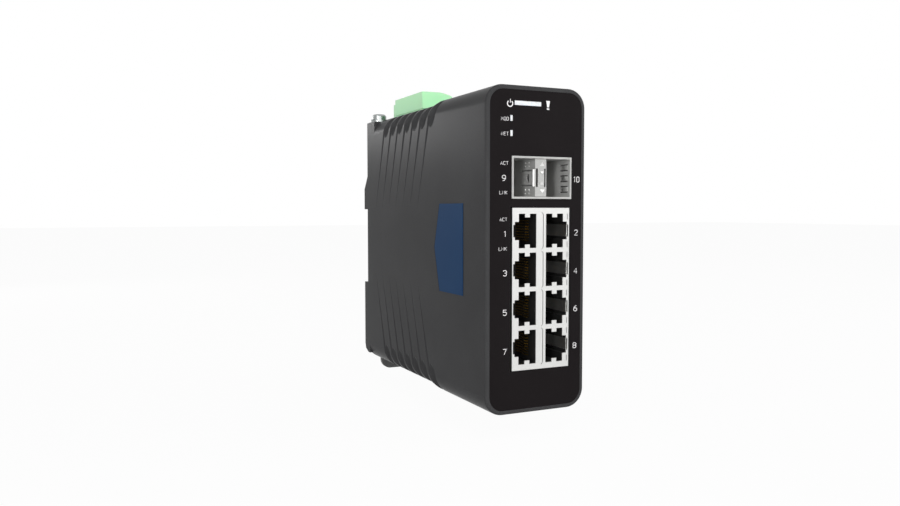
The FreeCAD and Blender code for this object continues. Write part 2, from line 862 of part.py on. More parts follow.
def housing():
    top_corner = box(
        "pad_relief", (-half_width - 1, -half_width + s.pad_width), (-s.pad_length, 1),
        (pad_top, housing_top + 1),
    )
    rough = cut("housing_rough", housing_shell(), top_corner)
    solid = fuse("housing_solid", rough, ground_pad("ground_pad", 0), *ears(), *bosses())
    openings = panel_openings("casting", (front - 1, wall_back + 1))
    openings.append(box(
        "power_opening", (header_left - s.header_panel_gap, header_right + s.header_panel_gap),
        (header_front - s.header_panel_gap, header_rear + s.header_panel_gap),
        (housing_top - s.wall - 1, housing_top + 1),
    ))
    for i, (y, z) in enumerate(BOARD_SCREWS):
        openings.append(cylinder(
            f"board_bore_{i}", "x", -inner_x, board_left + 1, (y, z), s.board_screw_radius + s.screw_gap,
        ))
    for i, (side, level) in enumerate(SCREW_CORNERS):
        openings.append(cylinder(
            f"cover_bore_{i}", "y", cover_back - s.cover_screw_length - s.bore_runout, 1,
            cover_screw_place(side, level),
            s.cover_screw_radius + s.screw_gap,
        ))
    openings.append(cylinder(
        "ground_bore", "z", pad_top - s.ground_shank_length - 1, pad_top + 1, (ground_x, ground_y),
        s.ground_shank_radius + s.screw_gap,
    ))
    opened = cut("housing_opened", solid, *openings)
    node("housing", cut("housing_casting", opened, gill_cutter()))


# ---------------------------------------------------------------------------------------
# Front label, side badge and the three light pipes
# ---------------------------------------------------------------------------------------
def front_label():
    """A thin overlay with cut-outs over the jacks, the cage and the light windows."""
    sheet_piece = rounded_bar(
        "label_sheet", "y", label_front, label_face, *label_outline(s.window_gap),
        s.edge_radius - s.label_margin,
    )
    openings = panel_openings("label", (label_front - 1, label_face + 1))
    node("front_label", cut("label_cut", sheet_piece, *openings))


def side_badge():
    """A five-sided label on the left side, its point towards the rear."""
    badge_front = front + s.badge_front
    badge_back = badge_front + s.badge_length
    half = s.badge_height / 2
    outline = [
        (badge_front, middle - half), (badge_back, middle - half), (badge_back + s.badge_point, middle),
        (badge_back, middle + half), (badge_front, middle + half),
    ]
    node("side_badge", prism("badge", "x", -half_width - s.badge_thickness, -half_width, outline))


def light_pipes():
    """Clear pipes that fill their windows, each with a flange behind the front wall."""
    for name, x, z in light_windows(s.window_gap):
        reach = s.pipe_flange + s.window_gap
        stem = box(f"{name}_stem", x, (label_front, wall_back + s.pipe_flange_thickness), z)
        flange = box(
            f"{name}_flange", (x[0] - reach, x[1] + reach), (wall_back, wall_back + s.pipe_flange_thickness),
            (z[0] - reach, z[1] + reach),
        )
        node(f"{name}_light_pipe", fuse(f"{name}_pipe", stem, flange))


def indicator_leds():
    """Side-view diodes on the board, behind the pipes' flanges."""
    near = board_front + s.led_gap
    pieces = []
    for name, x, z in light_windows(0):
        centre = (z[0] + z[1]) / 2
        pieces.append(box(
            f"{name}_led", (board_right, board_right + s.led_height), (near, near + s.led_depth),
            (centre - s.led_width / 2, centre + s.led_width / 2),
        ))
    node("indicator_leds", gather("leds", pieces))


# ---------------------------------------------------------------------------------------
# Jack block: sheet-metal shield, black insulator and spring contacts
# ---------------------------------------------------------------------------------------
def port_outline(side, with_fingers):
    """One jack's mouth: plug opening, two latch steps outwards and two shield fingers."""
    near, far = s.port_inner_x, s.port_outer_x
    half, tab = s.port_half_height, s.port_half_height - s.finger_reach
    upper = [(near, half)]
    if with_fingers:
        upper += [
            (s.finger_near_x, half), (s.finger_near_x, tab),
            (s.finger_far_x, tab), (s.finger_far_x, half),
        ]
    upper += [
        (far, half), (far, s.port_step_half), (s.port_step_x, s.port_step_half),
        (s.port_step_x, s.port_slot_half), (s.port_slot_x, s.port_slot_half),
    ]
    lower = [(x, -z) for x, z in reversed(upper)]
    return [(side * x, z) for x, z in upper + lower]


def pattern_up(body, name, feature, sketch, pitch, count):
    """Repeat a feature upwards along its sketch's vertical axis."""
    pattern = body.newObject("PartDesign::LinearPattern", name)
    pattern.Originals = [feature]
    pattern.Direction = (sketch, ["V_Axis"])
    bind(pattern, "Length", pitch * (count - 1))
    pattern.Occurrences = count
    body.Tip = pattern
    return pattern


def jack_ports(body, name, place, depth, with_fingers):
    """Eight mouths cut into a body whose origin is the middle of the jack block's front."""
    rows = int(SIZES["jack_rows"])
    mouths = body_sketch(body, name, "y", place)
    lowest = -s.jack_pitch * (rows - 1) / 2
    for side in (-1, 1):
        draw_polygon(mouths, [(x, z + lowest) for x, z in port_outline(side, with_fingers)])
    feature = pocket(body, name + "_pocket", mouths, depth, along=-1)
    pattern_up(body, name + "_rows", feature, mouths, s.jack_pitch, rows)


def jack_shield():
    body = new_body("jack_shield_body", s.jack_centre_x, front, jack_z)
    outline = body_sketch(body, "shield_outline", "y", 0)
    draw_polygon(outline, rectangle(
        (-jack_half_width, jack_half_width), (-jack_half_height, jack_half_height),
    ))
    pad(body, "shield_block", outline, s.jack_depth, along=-1)
    hollow = body_sketch(body, "shield_hollow", "y", s.jack_sheet)
    inner = (jack_half_width - s.jack_sheet, jack_half_height - s.jack_sheet)
    draw_polygon(hollow, rectangle((-inner[0], inner[0]), (-inner[1], inner[1])))
    pocket(body, "shield_pocket", hollow, s.jack_depth, along=-1)
    jack_ports(body, "shield_mouths", 0, s.jack_sheet * 2, True)
    folds = body_sketch(body, "shield_folds", "y", 0)
    lowest = -s.jack_pitch * (int(SIZES["jack_rows"]) - 1) / 2
    for outline in fold_outlines():
        draw_polygon(folds, [(x, z + lowest) for x, z in outline])
    slits = pocket(body, "shield_folds_pocket", folds, s.jack_sheet * 2, along=-1)
    pattern_up(body, "shield_folds_rows", slits, folds, s.jack_pitch, int(SIZES["jack_rows"]))
    node("jack_shield", body)


def fold_outlines():
    """A long slit with ends bent inwards beside each jack, and a straight one at the right edge."""
    near, far = s.fold_x, s.fold_x + s.fold_slit
    half, turn = s.fold_half, s.fold_half + s.fold_bend
    bent = [
        (far, -half), (far, half), (s.fold_bend_x + s.fold_slit, turn), (s.fold_bend_x, turn),
        (near, half), (near, -half), (s.fold_bend_x, -turn), (s.fold_bend_x + s.fold_slit, -turn),
    ]
    edge = s.corner_fold_x
    straight = rectangle((edge, edge + s.fold_slit), (s.port_step_half + s.fold_bend, s.port_half_height))
    return bent, straight, [(x, -z) for x, z in straight]


def jack_insulator():
    body = new_body("jack_insulator_body", s.jack_centre_x, front, jack_z)
    outline = body_sketch(body, "insulator_outline", "y", s.jack_sheet)
    inner = (jack_half_width - s.jack_sheet, jack_half_height - s.jack_sheet)
    draw_polygon(outline, rectangle((-inner[0], inner[0]), (-inner[1], inner[1])))
    pad(body, "insulator_block", outline, s.jack_depth - s.jack_sheet, along=-1)
    jack_ports(body, "insulator_mouths", s.jack_sheet, s.port_depth, False)
    node("jack_insulator", body)


def jack_contacts():
    """Eight sprung wires in each jack, rising from the back of the mouth towards the plug."""
    thick, width = SIZES["contact_thickness"], SIZES["contact_width"]
    back = front.value + SIZES["jack_sheet"] + SIZES["port_depth"]
    near = SIZES["port_inner_x"] + SIZES["contact_inset"]
    high = near + SIZES["contact_rise"]
    tip = high - SIZES["contact_return"]
    bend = back - SIZES["contact_straight"]
    crest = bend - SIZES["contact_run"]
    end = crest - SIZES["contact_tip"]
    profile = [
        (near, back), (near, bend), (high, crest), (tip, end), (tip - thick, end + thick * 0.7),
        (high - thick * 1.3, crest), (near - thick * 0.7, bend + thick), (near - thick * 0.7, back),
    ]
    rows, count = int(SIZES["jack_rows"]), int(SIZES["contact_count"])
    wires = []
    for side in (-1, 1):
        points = [Vector(SIZES["jack_centre_x"] + side * x, y, 0) for x, y in profile]
        face = Part.Face(Part.makePolygon(points + points[:1]))
        wire = face.extrude(Vector(0, 0, width))
        for row in range(rows):
            level = jack_z.value + (row - (rows - 1) / 2) * SIZES["jack_pitch"]
            for i in range(count):
                copy = wire.copy()
                offset = (i - (count - 1) / 2) * SIZES["contact_pitch"] - width / 2
                copy.translate(Vector(0, 0, level + offset))
                wires.append(copy)
    piece = doc.addObject("Part::Feature", "contacts")
    piece.Shape = Part.makeCompound(wires)
    node("jack_contacts", piece)


# ---------------------------------------------------------------------------------------
# Transceiver cage with its divider and board connector
# ---------------------------------------------------------------------------------------
def sfp_cage():
    """A folded sheet tube closed behind, with a flange on the panel and spring cuts."""
    cage_front = label_front
    y = (cage_front, cage_front + s.cage_depth)
    z = (cage_z - cage_half_height, cage_z + cage_half_height)
    sheet_gap = s.cage_sheet
    tube = box("cage_tube", (cage_left, cage_right), y, z)
    hollow = box(
        "cage_hollow", (cage_left + sheet_gap, cage_right - sheet_gap), (y[0] - 1, y[1] - sheet_gap),
        (z[0] + sheet_gap, z[1] - sheet_gap),
    )
    flange = prism(
        "cage_flange", "y", cage_front - s.cage_flange_thickness, cage_front,
        rectangle((cage_left - s.cage_flange, cage_right + s.cage_flange),
                  (z[0] - s.cage_flange, z[1] + s.cage_flange)),
        rectangle((cage_left + sheet_gap, cage_right - sheet_gap), (z[0] + sheet_gap, z[1] - sheet_gap)),
    )
    springs = []
    wall = (cage_right - sheet_gap * 2, cage_right + 1)
    count = int(SIZES["spring_cut_count"])
    for i in range(count):
        level = cage_z + (i - (count - 1) / 2) * s.spring_cut_pitch
        springs += h_cut(f"cage_spring_{i}", wall, cage_front, level)
    node("sfp_cage", cut("cage", fuse("cage_folded", tube, flange), hollow, *springs))


def h_cut(name, x, cage_front, level):
    """Two lengthwise slits and a crosswise one, which leave two small spring tongues."""
    half_slit, half = s.spring_cut_slit / 2, s.spring_cut_height / 2
    near = cage_front + s.spring_cut_start
    pieces = []
    for side in (-1, 1):
        edge = level + side * half
        pieces.append(box(
            f"{name}_slit_{side + 1}", x, (near, near + s.spring_cut_length),
            (edge - half_slit, edge + half_slit),
        ))
    cross = cage_front + s.spring_cut_cross
    pieces.append(box(f"{name}_cross", x, (cross, cross + s.spring_cut_slit), (level - half, level + half)))
    return pieces


def sfp_divider():
    """A folded channel: two walls joined by a notched front, stepped back beside the right slot."""
    cage_front = label_front
    y = (cage_front + s.divider_inset, cage_front + s.cage_depth - s.cage_sheet - s.divider_rear_gap)
    reach = cage_half_height - s.cage_sheet - s.divider_gap
    z = (cage_z - reach, cage_z + reach)
    x = (slot_left_high, slot_right_low)
    sheet, beyond = s.cage_sheet, (z[0] - 1, z[1] + 1)
    edge, step = x[1] - s.divider_step_width, y[0] + s.divider_step
    block = box("divider_block", x, y, z)
    corner = box("divider_corner", (edge, x[1] + 1), (y[0] - 1, step), beyond)
    hollows = [
        box("divider_front_hollow", (x[0] + sheet, edge - sheet), (y[0] + sheet, step + sheet), beyond),
        box("divider_hollow", (x[0] + sheet, x[1] - sheet), (step + sheet, y[1] + 1), beyond),
    ]
    bar = (x[0] + s.divider_bar_inset, x[0] + s.divider_bar_inset + s.divider_bar_width)
    through, level = (y[0] - 1, step + 1), (cage_z - s.divider_window_half, cage_z + s.divider_window_half)
    windows = [
        box("divider_window_left", (x[0] + sheet, bar[0]), through, level),
        box("divider_window_right", (bar[1], x[1] - sheet), through, level),
    ]
    half = s.tongue_width / 2
    tongue = (cage_front + s.tongue_start, cage_front + s.tongue_start + s.tongue_length)
    wall = (x[0] - 1, x[0] + sheet * 2)
    for side in (-1, 1):
        level = cage_z + side * half
        windows.append(box(
            f"tongue_slit_{side + 1}", wall, tongue, (level - s.tongue_cut / 2, level + s.tongue_cut / 2),
        ))
    straight = cage_front + s.tongue_hole_place
    disc = cylinder("tongue_disc", "x", *wall, (straight, cage_z), s.tongue_hole_radius)
    front_half = box("tongue_front_half", wall, (straight - s.tongue_hole_radius - 1, straight), beyond)
    windows.append(cut("tongue_hole", disc, front_half))
    node("sfp_divider", cut("divider", block, corner, *hollows, *windows))


def sfp_connectors():
    """A black stacked connector at the back of the cage, one nose in each slot."""
    back = label_front + s.cage_depth - s.cage_sheet
    step = back - s.connector_depth
    tip = step - s.nose_length
    for name, low, high in (
        ("left", slot_left_low, slot_left_high), ("right", slot_right_low, slot_right_high),
    ):
        centre = (low + high) / 2
        nose = box(
            f"connector_nose_{name}", (centre - s.nose_width / 2, centre + s.nose_width / 2), (tip, step),
            (cage_z - s.nose_height / 2, cage_z + s.nose_height / 2),
        )
        mouth = box(
            f"connector_mouth_{name}", (centre - s.nose_mouth_width / 2, centre + s.nose_mouth_width / 2),
            (tip - 1, tip + s.nose_mouth_depth),
            (cage_z - s.nose_mouth_height / 2, cage_z + s.nose_mouth_height / 2),
        )
        base = box(
            f"connector_body_{name}", (low, high), (step, back),
            (cage_z - s.connector_height / 2, cage_z + s.connector_height / 2),
        )
        block = fuse(f"connector_block_{name}", nose, base)
        node(f"sfp_connector_{name}", cut(f"connector_{name}", block, mouth))


# ---------------------------------------------------------------------------------------
# Circuit board and its components
# ---------------------------------------------------------------------------------------
def main_board():
    board = box(
        "board_blank", (board_left, board_right), (board_front, board_rear), (board_bottom, board_top),
    )
    bore = s.board_screw_radius + s.board_hole_gap
    holes = [
        cylinder(f"board_hole_{i}", "x", board_left - 1, board_right + 1, place, bore)
        for i, place in enumerate(BOARD_SCREWS)
    ]
    for i in range(int(SIZES["pole_count"])):
        holes.append(box(
            f"pin_hole_{i}", (board_left - 1, board_right + 1), *pin_leg_section(i, s.pin_gap),
        ))
    node("main_board", cut("board", board, *holes))


def board_screws():
    screws = [
        pan_screw(f"board_screw_{i}", "x", board_right, place, s.board_head_radius, s.board_head_height,
                  s.board_screw_radius, board_right + inner_x - s.board_screw_short)
        for i, place in enumerate(BOARD_SCREWS)
    ]
    node("board_screws", gather("board_screw_set", screws))


def on_board(name, kind, y, z):
    """A block component of a kind from the table, its middle at y and z on the board."""
    half_length = getattr(s, kind + "_length") / 2
    half_rise = getattr(s, kind + "_height") / 2
    return box(
        name + "_block", (board_right, board_right + getattr(s, kind + "_thickness")),
        (y - half_length, y + half_length), (z - half_rise, z + half_rise),
    )


def chip_under_boss():
    """The switch chip on the board's left face, and the heat pad that joins it to its boss."""
    half = s.chip_size / 2
    y = (-s.chip_from_rear - half, -s.chip_from_rear + half)
    z = (middle + s.chip_rise - half, middle + s.chip_rise + half)
    chip_face = board_left - s.chip_height
    node("switch_chip", box("switch_chip_block", (chip_face, board_left), y, z))
    node("heat_pad", box("heat_pad_block", (chip_face - s.heat_pad_thickness, chip_face), y, z))


def board_components():
    behind_jacks = front + s.jack_depth
    rows = int(SIZES["jack_rows"])
    along = behind_jacks + s.port_transformer_along
    transformers = [
        on_board(f"transformer_{row}", "port_transformer", along,
                 jack_z + s.port_transformer_rise + (row - (rows - 1) / 2) * s.jack_pitch)
        for row in range(rows)
    ]
    node("port_transformers", gather("transformer_set", transformers))
    for kind in ("processor_chip", "flash_chip", "clock_crystal"):
        place = (behind_jacks + getattr(s, kind + "_along"), middle + getattr(s, kind + "_rise"))
        node(kind, on_board(kind, kind, *place))
    processor_rear = behind_jacks + s.processor_chip_along + s.processor_chip_length / 2
    memory_y = processor_rear + s.memory_chip_along + s.memory_chip_length / 2
    node("memory_chip", on_board("memory_chip", "memory_chip", memory_y, middle + s.memory_chip_rise))
    for kind in ("power_inductor", "power_transformer"):
        place = (-getattr(s, kind + "_along"), middle + getattr(s, kind + "_rise"))
        node(kind, on_board(kind, kind, *place))
    cans = [
        cylinder(f"capacitor_{i}", "x", board_right, board_right + s.can_length,
                 (-s.can_from_rear - i * s.can_pitch, middle + s.can_rise), s.can_radius)
        for i in range(int(SIZES["can_count"]))
    ]
    node("capacitors", gather("capacitor_set", cans))


# ---------------------------------------------------------------------------------------
# Power connector: header on the board, pins, and the plug with its clamps and screws
# ---------------------------------------------------------------------------------------
def pole_y(i):
    return header_rear - s.header_end - s.pole_pitch * (i + 0.5)


def pin_x():
    return (header_left + header_right) / 2


def pin_leg_section(i, gap):
    """Y and Z ranges of a pin's leg, which runs through the header's floor into the board."""
    reach = s.pin_size / 2 + gap
    level = header_bottom + s.header_floor / 2
    return (pole_y(i) - reach, pole_y(i) + reach), (level - reach, level + reach)


def power_header():
    """An open-topped shroud, its rear end wall standing higher than the rest."""
    block = box(
        "header_block", (header_left, header_right), (header_front, header_rear),
        (header_bottom, header_top),
    )
    flange = box(
        "header_end_wall", (header_left, header_right), (header_rear - s.header_flange, header_rear),
        (header_bottom, housing_top + s.header_flange_rise),
    )
    cavity = box(
        "header_cavity", (header_left + s.header_wall, header_right - s.header_wall),
        (header_front + s.header_wall, header_rear - s.header_flange - s.header_wall / 2),
        (header_bottom + s.header_floor, header_top + 1),
    )
    slots = []
    reach = s.pin_size / 2 + s.pin_gap
    for i in range(int(SIZES["pole_count"])):
        y, z = pin_leg_section(i, s.pin_gap)
        slots.append(box(f"leg_slot_{i}", (header_left - 1, pin_x() + reach), y, z))
        slots.append(box(
            f"pin_slot_{i}", (pin_x() - reach, pin_x() + reach), y,
            (z[0], header_bottom + s.header_floor + 1),
        ))
    node("power_header", cut("header", fuse("header_solid", block, flange), cavity, *slots))


def power_pins():
    """Six L-shaped pins from the board through the header's floor, upright in the shroud."""
    pins = []
    half = s.pin_size / 2
    tail, tip = board_left - s.pin_tail, header_bottom + s.header_floor + s.pin_height
    for i in range(int(SIZES["pole_count"])):
        y, z = pin_leg_section(i, length(0))
        outline = [
            (tail, z[0]), (pin_x() + half, z[0]), (pin_x() + half, tip),
            (pin_x() - half, tip), (pin_x() - half, z[1]), (tail, z[1]),
        ]
        pins.append(prism(f"power_pin_{i}", "y", *y, outline))
    node("power_pins", gather("power_pin_set", pins))


def chamber(i, gap):
    """X, Y and Z ranges of the clamp chamber under each wire hole, drawn in by the gap."""
    half = s.wire_hole / 2 + s.chamber_wall - gap
    return (
        (pin_x() - half - s.chamber_inner, pin_x() + half),
        (pole_y(i) - half, pole_y(i) + half),
        (plug_bottom + s.chamber_floor + gap, plug_top - s.chamber_roof - gap),
    )


def clamp_level():
    return (plug_bottom + plug_top) / 2 - s.clamp_drop


def power_plug():
    """The pull-off half: bevelled head above the shroud, nose inside it, six wire holes."""
    head = prism("plug_head", "y", header_front, plug_rear, [
        (header_left, plug_bottom), (header_right, plug_bottom),
        (header_right, plug_top - s.plug_bevel_low),
        (header_right - s.plug_bevel_side, plug_top - s.plug_bevel_middle),
        (header_right - s.plug_bevel_run, plug_top), (header_left, plug_top),
    ])
    nose = box(
        "plug_nose",
        (header_left + s.header_wall + s.plug_nose_gap, header_right - s.header_wall - s.plug_nose_gap),
        (header_front + s.header_wall + s.plug_nose_gap,
         plug_rear - s.header_wall / 2 - s.plug_nose_gap),
        (plug_bottom - s.plug_nose_length, plug_bottom),
    )
    holes = []
    half = s.wire_hole / 2
    socket = s.pin_size / 2 + s.pin_socket_gap
    for i in range(int(SIZES["pole_count"])):
        y = pole_y(i)
        holes.append(box(f"clamp_chamber_{i}", *chamber(i, length(0))))
        holes.append(box(
            f"wire_hole_{i}", (pin_x() - half, pin_x() + half), (y - half, y + half),
            (plug_bottom + s.chamber_floor, plug_top + 1),
        ))
        holes.append(box(
            f"pin_socket_{i}", (pin_x() - socket, pin_x() + socket), (y - socket, y + socket),
            (plug_bottom - s.plug_nose_length - 1, plug_bottom + s.chamber_floor),
        ))
        holes.append(cylinder(
            f"clamp_access_{i}", "x", pin_x(), header_right + 1, (y, clamp_level()), s.clamp_hole_radius,
        ))
    node("power_plug", cut("plug", fuse("plug_solid", head, nose), *holes))


def plug_clamps():
    """A square metal sleeve around each wire place, tapped for its screw."""
    clamps = []
    for i in range(int(SIZES["pole_count"])):
        x, y, z = chamber(i, s.clamp_gap)
        block = box(f"clamp_block_{i}", x, y, z)
        wall = s.clamp_wall
        hollow = box(
            f"clamp_hollow_{i}", (x[0] + wall, x[1] - wall), (y[0] + wall, y[1] - wall),
            (z[0] - 1, z[1] + 1),
        )
        bore = cylinder(f"clamp_bore_{i}", "x", x[1] - 1, x[1] + 1, (pole_y(i), clamp_level()),
                        s.clamp_screw_radius + s.screw_gap)
        clamps.append(cut(f"clamp_{i}", block, hollow, bore))
    node("plug_clamps", gather("clamp_set", clamps))


def plug_screws():
    """Slotted clamp screws, sunk in the plug's right-hand side."""
    screws = []
    for i in range(int(SIZES["pole_count"])):
        face = chamber(i, s.clamp_gap)[0][1]
        outside = header_right - s.clamp_head_sink
        centre = (pole_y(i), clamp_level())
        shank = cylinder(
            f"clamp_shank_{i}", "x", face - s.clamp_shank_in, face + s.clamp_shank_out, centre,
            s.clamp_screw_radius,
        )
        head = cylinder(
            f"clamp_head_{i}", "x", face + s.clamp_head_gap, outside, centre, s.clamp_head_radius,
        )
        reach, half = s.clamp_head_radius + s.clamp_head_gap, s.clamp_slit_width / 2
        slit = box(
            f"clamp_slit_{i}", (outside - s.clamp_slit_depth, outside + s.clamp_slit_depth),
            (centre[0] - reach, centre[0] + reach), (centre[1] - half, centre[1] + half),
        )
        screws.append(cut(f"clamp_screw_{i}", fuse(f"clamp_bolt_{i}", shank, head), slit))
    node("plug_screws", gather("plug_screw_set", screws))


# ---------------------------------------------------------------------------------------
# Ground screw with its washers
# ---------------------------------------------------------------------------------------
def ground_screw():
    centre = (ground_x, ground_y)
    ring_bore = s.ground_shank_radius + s.washer_bore_gap
    flat = cut(
        "flat_washer", cylinder("flat_disc", "z", pad_top, pad_top + s.flat_washer_thickness, centre,
                                s.flat_washer_radius),
        cylinder("flat_hole", "z", pad_top - 1, pad_top + s.flat_washer_thickness + 1, centre, ring_bore),
    )
    node("ground_flat_washer", flat)
    star_low = pad_top + s.flat_washer_thickness
    star_high = star_low + s.star_washer_thickness
    disc = cylinder("star_disc", "z", star_low, star_high, centre, s.star_washer_radius)
    hole = cylinder("star_hole", "z", star_low - 1, star_high + 1, centre, ring_bore)
    depth, width = SIZES["star_notch_depth"], SIZES["star_notch_width"]
    inner = SIZES["star_washer_radius"] - depth
    tall = SIZES["star_washer_thickness"] + 2
    notch = Part.makeBox(depth + 1, width, tall, Vector(inner, -width / 2, -1))
    count = int(SIZES["star_tooth_count"])
    notches = []
    for i in range(count):
        copy = notch.copy()
        copy.rotate(Vector(), Vector(0, 0, 1), i * 360 / count)
        notches.append(copy)
    teeth = doc.addObject("Part::Feature", "star_notches")
    teeth.Shape = Part.makeCompound(notches)
    bind_place(teeth, Rotation(), {"x": ground_x, "y": ground_y, "z": star_low})
    node("ground_star_washer", cut("star_washer", disc, hole, teeth))
    screw = pan_screw("ground_bolt", "z", star_high, centre, s.ground_head_radius, s.ground_head_height,
                      s.ground_shank_radius, s.ground_shank_length)
    top = star_high + s.ground_head_height
    arm, half = s.cross_arm, s.cross_width / 2
    floor = (top - s.cross_depth, top + 1)
    recess = [
        box(f"cross_slot_{name}", (ground_x - x, ground_x + x), (ground_y - y, ground_y + y), floor)
        for name, x, y in (("x", arm, half), ("y", half, arm))
    ]
    node("ground_screw", cut("ground_cross_screw", screw, *recess))


# ---------------------------------------------------------------------------------------
# Rear cover with rail hooks, its screws, the sliding latch, keeper and spring
# ---------------------------------------------------------------------------------------
def rear_cover():
    gap = s.cover_gap
    plate = rounded_bar(
        "cover_plate", "y", cover_front, cover_back, (gap - inner_x, inner_x - gap),
        (middle - inner_half_height + gap, middle + inner_half_height - gap), s.inner_radius - gap,
    )
    clear = s.hook_overlap + s.seat_inset
    seat = box(
        "rail_land", (gap - inner_x, inner_x - gap), (cover_inside, 0),
        (slot_bottom + clear, slot_top - clear),
    )
    lip_back = s.rail_flange_gap + s.hook_lip
    hook = [
        (cover_inside, slot_top), (s.rail_flange_gap, slot_top),
        (s.rail_flange_gap, slot_top - s.hook_overlap),
        (lip_back - s.hook_chamfer, slot_top - s.hook_overlap),
        (lip_back, slot_top - s.hook_overlap + s.hook_chamfer),
        (lip_back, slot_top + s.hook_bridge - s.hook_chamfer),
        (lip_back - s.hook_chamfer, slot_top + s.hook_bridge),
        (cover_inside, slot_top + s.hook_bridge),
    ]
    hooks = []
    for name, low in (("left", -s.hook_inner - s.hook_width), ("right", s.hook_inner)):
        hooks.append(prism(f"hook_{name}", "x", low, low + s.hook_width, hook))
    half = s.window_width / 2 - s.peg_side_gap
    peg = box("spring_peg", (-half, half), (cover_inside, latch_back),
              (peg_top - s.peg_thickness, peg_top))
    cones = []
    for i, (side, level) in enumerate(SCREW_CORNERS):
        place = cover_screw_place(side, level)
        drop = s.cover_head_radius - s.cover_screw_radius
        cones.append(cone(
            f"cover_sink_{i}", "y", cover_back - drop, cover_back, place,
            s.cover_screw_radius, s.cover_head_radius,
        ))
        cones.append(cylinder(
            f"cover_hole_{i}", "y", cover_front - 1, cover_back, place, s.cover_screw_radius,
        ))
    for side in (-1, 1):
        cones.append(cylinder(
            f"keeper_hole_{side + 1}", "y", cover_front - 1, 1, keeper_screw_place(side),
            s.keeper_screw_shank + s.screw_gap,
        ))
    notch = ground_pad("cover_notch", gap)
    node("rear_cover", cut("cover", fuse("cover_solid", plate, seat, *hooks, peg), notch, *cones))


def cover_screws():
    """Countersunk screws, flush with the cover and threaded into the housing's posts."""
    screws = []
    for i, (side, level) in enumerate(SCREW_CORNERS):
        drop = s.cover_head_radius - s.cover_screw_radius
        profile = [
            (0, 0), (s.cover_screw_radius, 0), (s.cover_screw_radius, s.cover_screw_length - drop),
            (s.cover_head_radius, s.cover_screw_length), (0, s.cover_screw_length),
        ]
        low = cover_back - s.cover_screw_length
        bolt = turned(f"cover_bolt_{i}", "y", low, cover_screw_place(side, level), profile)
        x, z = cover_screw_place(side, level)
        arm, half = s.cover_cross_arm, s.cover_cross_width / 2
        slots = [
            box(f"cover_slot_{i}_{name}", (x - wide, x + wide),
                (cover_back - s.cover_cross_depth, cover_back + 1), (z - tall, z + tall))
            for name, wide, tall in (("x", arm, half), ("z", half, arm))
        ]
        screws.append(cut(f"cover_screw_{i}", bolt, *slots))
    node("rear_cover_screws", gather("cover_screw_set", screws))


def rail_latch():
    """A flat slider with a chamfered hook behind the rail and a slotted pull tab below."""
    body = new_body("latch_body")
    outline = body_sketch(body, "latch_outline", "y", latch_front)
    draw_polygon(outline, rectangle((-latch_half, latch_half), (latch_bottom, slot_bottom)))
    plate = pad(body, "latch_plate", outline, s.latch_thickness, along=-1)
    low = latch_bottom.value + 0.01
    round_edges(body, "tab_rounding", plate, s.latch_corner, lambda box: box.YLength > 1 and box.ZMax < low)
    inner, outer = s.rail_flange_gap, s.rail_flange_gap + s.hook_lip
    tip = slot_bottom + s.hook_overlap
    hook_half, foot = latch_half - s.latch_hook_inset, slot_bottom - s.latch_hook_drop
    root = latch_back - s.latch_thickness / 2
    hook = prism("latch_hook", "x", -hook_half, hook_half, [
        (root, foot), (outer, foot), (outer, tip - s.latch_hook_chamfer),
        (outer - s.latch_hook_chamfer, tip), (inner, tip), (inner, slot_bottom), (root, slot_bottom),
    ])
    half = s.window_width / 2
    through = (latch_front - 1, latch_back + 1)
    window = box("latch_window", (-half, half), through,
                 (peg_top - s.peg_thickness - s.peg_below_gap, window_top))
    slot = box("latch_slot", (-s.slot_width / 2, s.slot_width / 2), through,
               (latch_bottom + s.slot_margin, latch_bottom + s.slot_margin + s.slot_height))
    node("rail_latch", cut("latch", fuse("latch_solid", body, hook), window, slot))


def latch_spring():
    """A compression spring between the cover's peg and the top of the latch's window."""
    wire, radius = SIZES["spring_wire"], SIZES["spring_radius"]
    rise = SIZES["spring_length"] - wire
    pitch = rise / SIZES["spring_turns"]
    path = Part.makeHelix(pitch, rise, radius)
    ring = Part.Wire(Part.Circle(Vector(radius, 0, 0), Vector(0, 1, 0), wire / 2).toShape())
    coil = Part.Wire(path.Edges).makePipeShell([ring], True, True)
    piece = doc.addObject("Part::Feature", "spring")
    piece.Shape = coil
    bind_place(piece, Rotation(), {"y": (latch_front + latch_back) / 2, "z": peg_top + s.spring_wire / 2})
    node("latch_spring", piece)


def keeper_level():
    """Mid-height of the strap, which stays clear below the latch's hook at full travel."""
    hook_low = slot_bottom - s.latch_hook_drop - s.latch_travel
    return hook_low - s.keeper_clearance - s.keeper_height / 2


def keeper_screw_place(side):
    offset = latch_half + s.latch_gap + s.keeper_sheet + s.keeper_foot / 2
    return side * offset, keeper_level()


def latch_keeper():
    """A hat-shaped strap over the latch, its feet on the cover beside it."""
    gap, sheet_size = s.latch_gap, s.keeper_sheet
    leg = latch_half + gap
    top = latch_back + gap
    foot_back = cover_back + sheet_size
    right = [
        (leg, top), (leg, cover_back), (leg + sheet_size + s.keeper_foot, cover_back),
        (leg + sheet_size + s.keeper_foot, foot_back), (leg + sheet_size, foot_back),
        (leg + sheet_size, top + sheet_size),
    ]
    left = [(-x, y) for x, y in reversed(right)]
    level = keeper_level()
    half = s.keeper_height / 2
    strap = prism("keeper_strap", "z", level - half, level + half, right + left)
    holes = [
        cylinder(f"keeper_bore_{side + 1}", "y", cover_back - 1, foot_back + 1, keeper_screw_place(side),
                 s.keeper_screw_shank + s.board_hole_gap)
        for side in (-1, 1)
    ]
    node("latch_keeper", cut("keeper", strap, *holes))


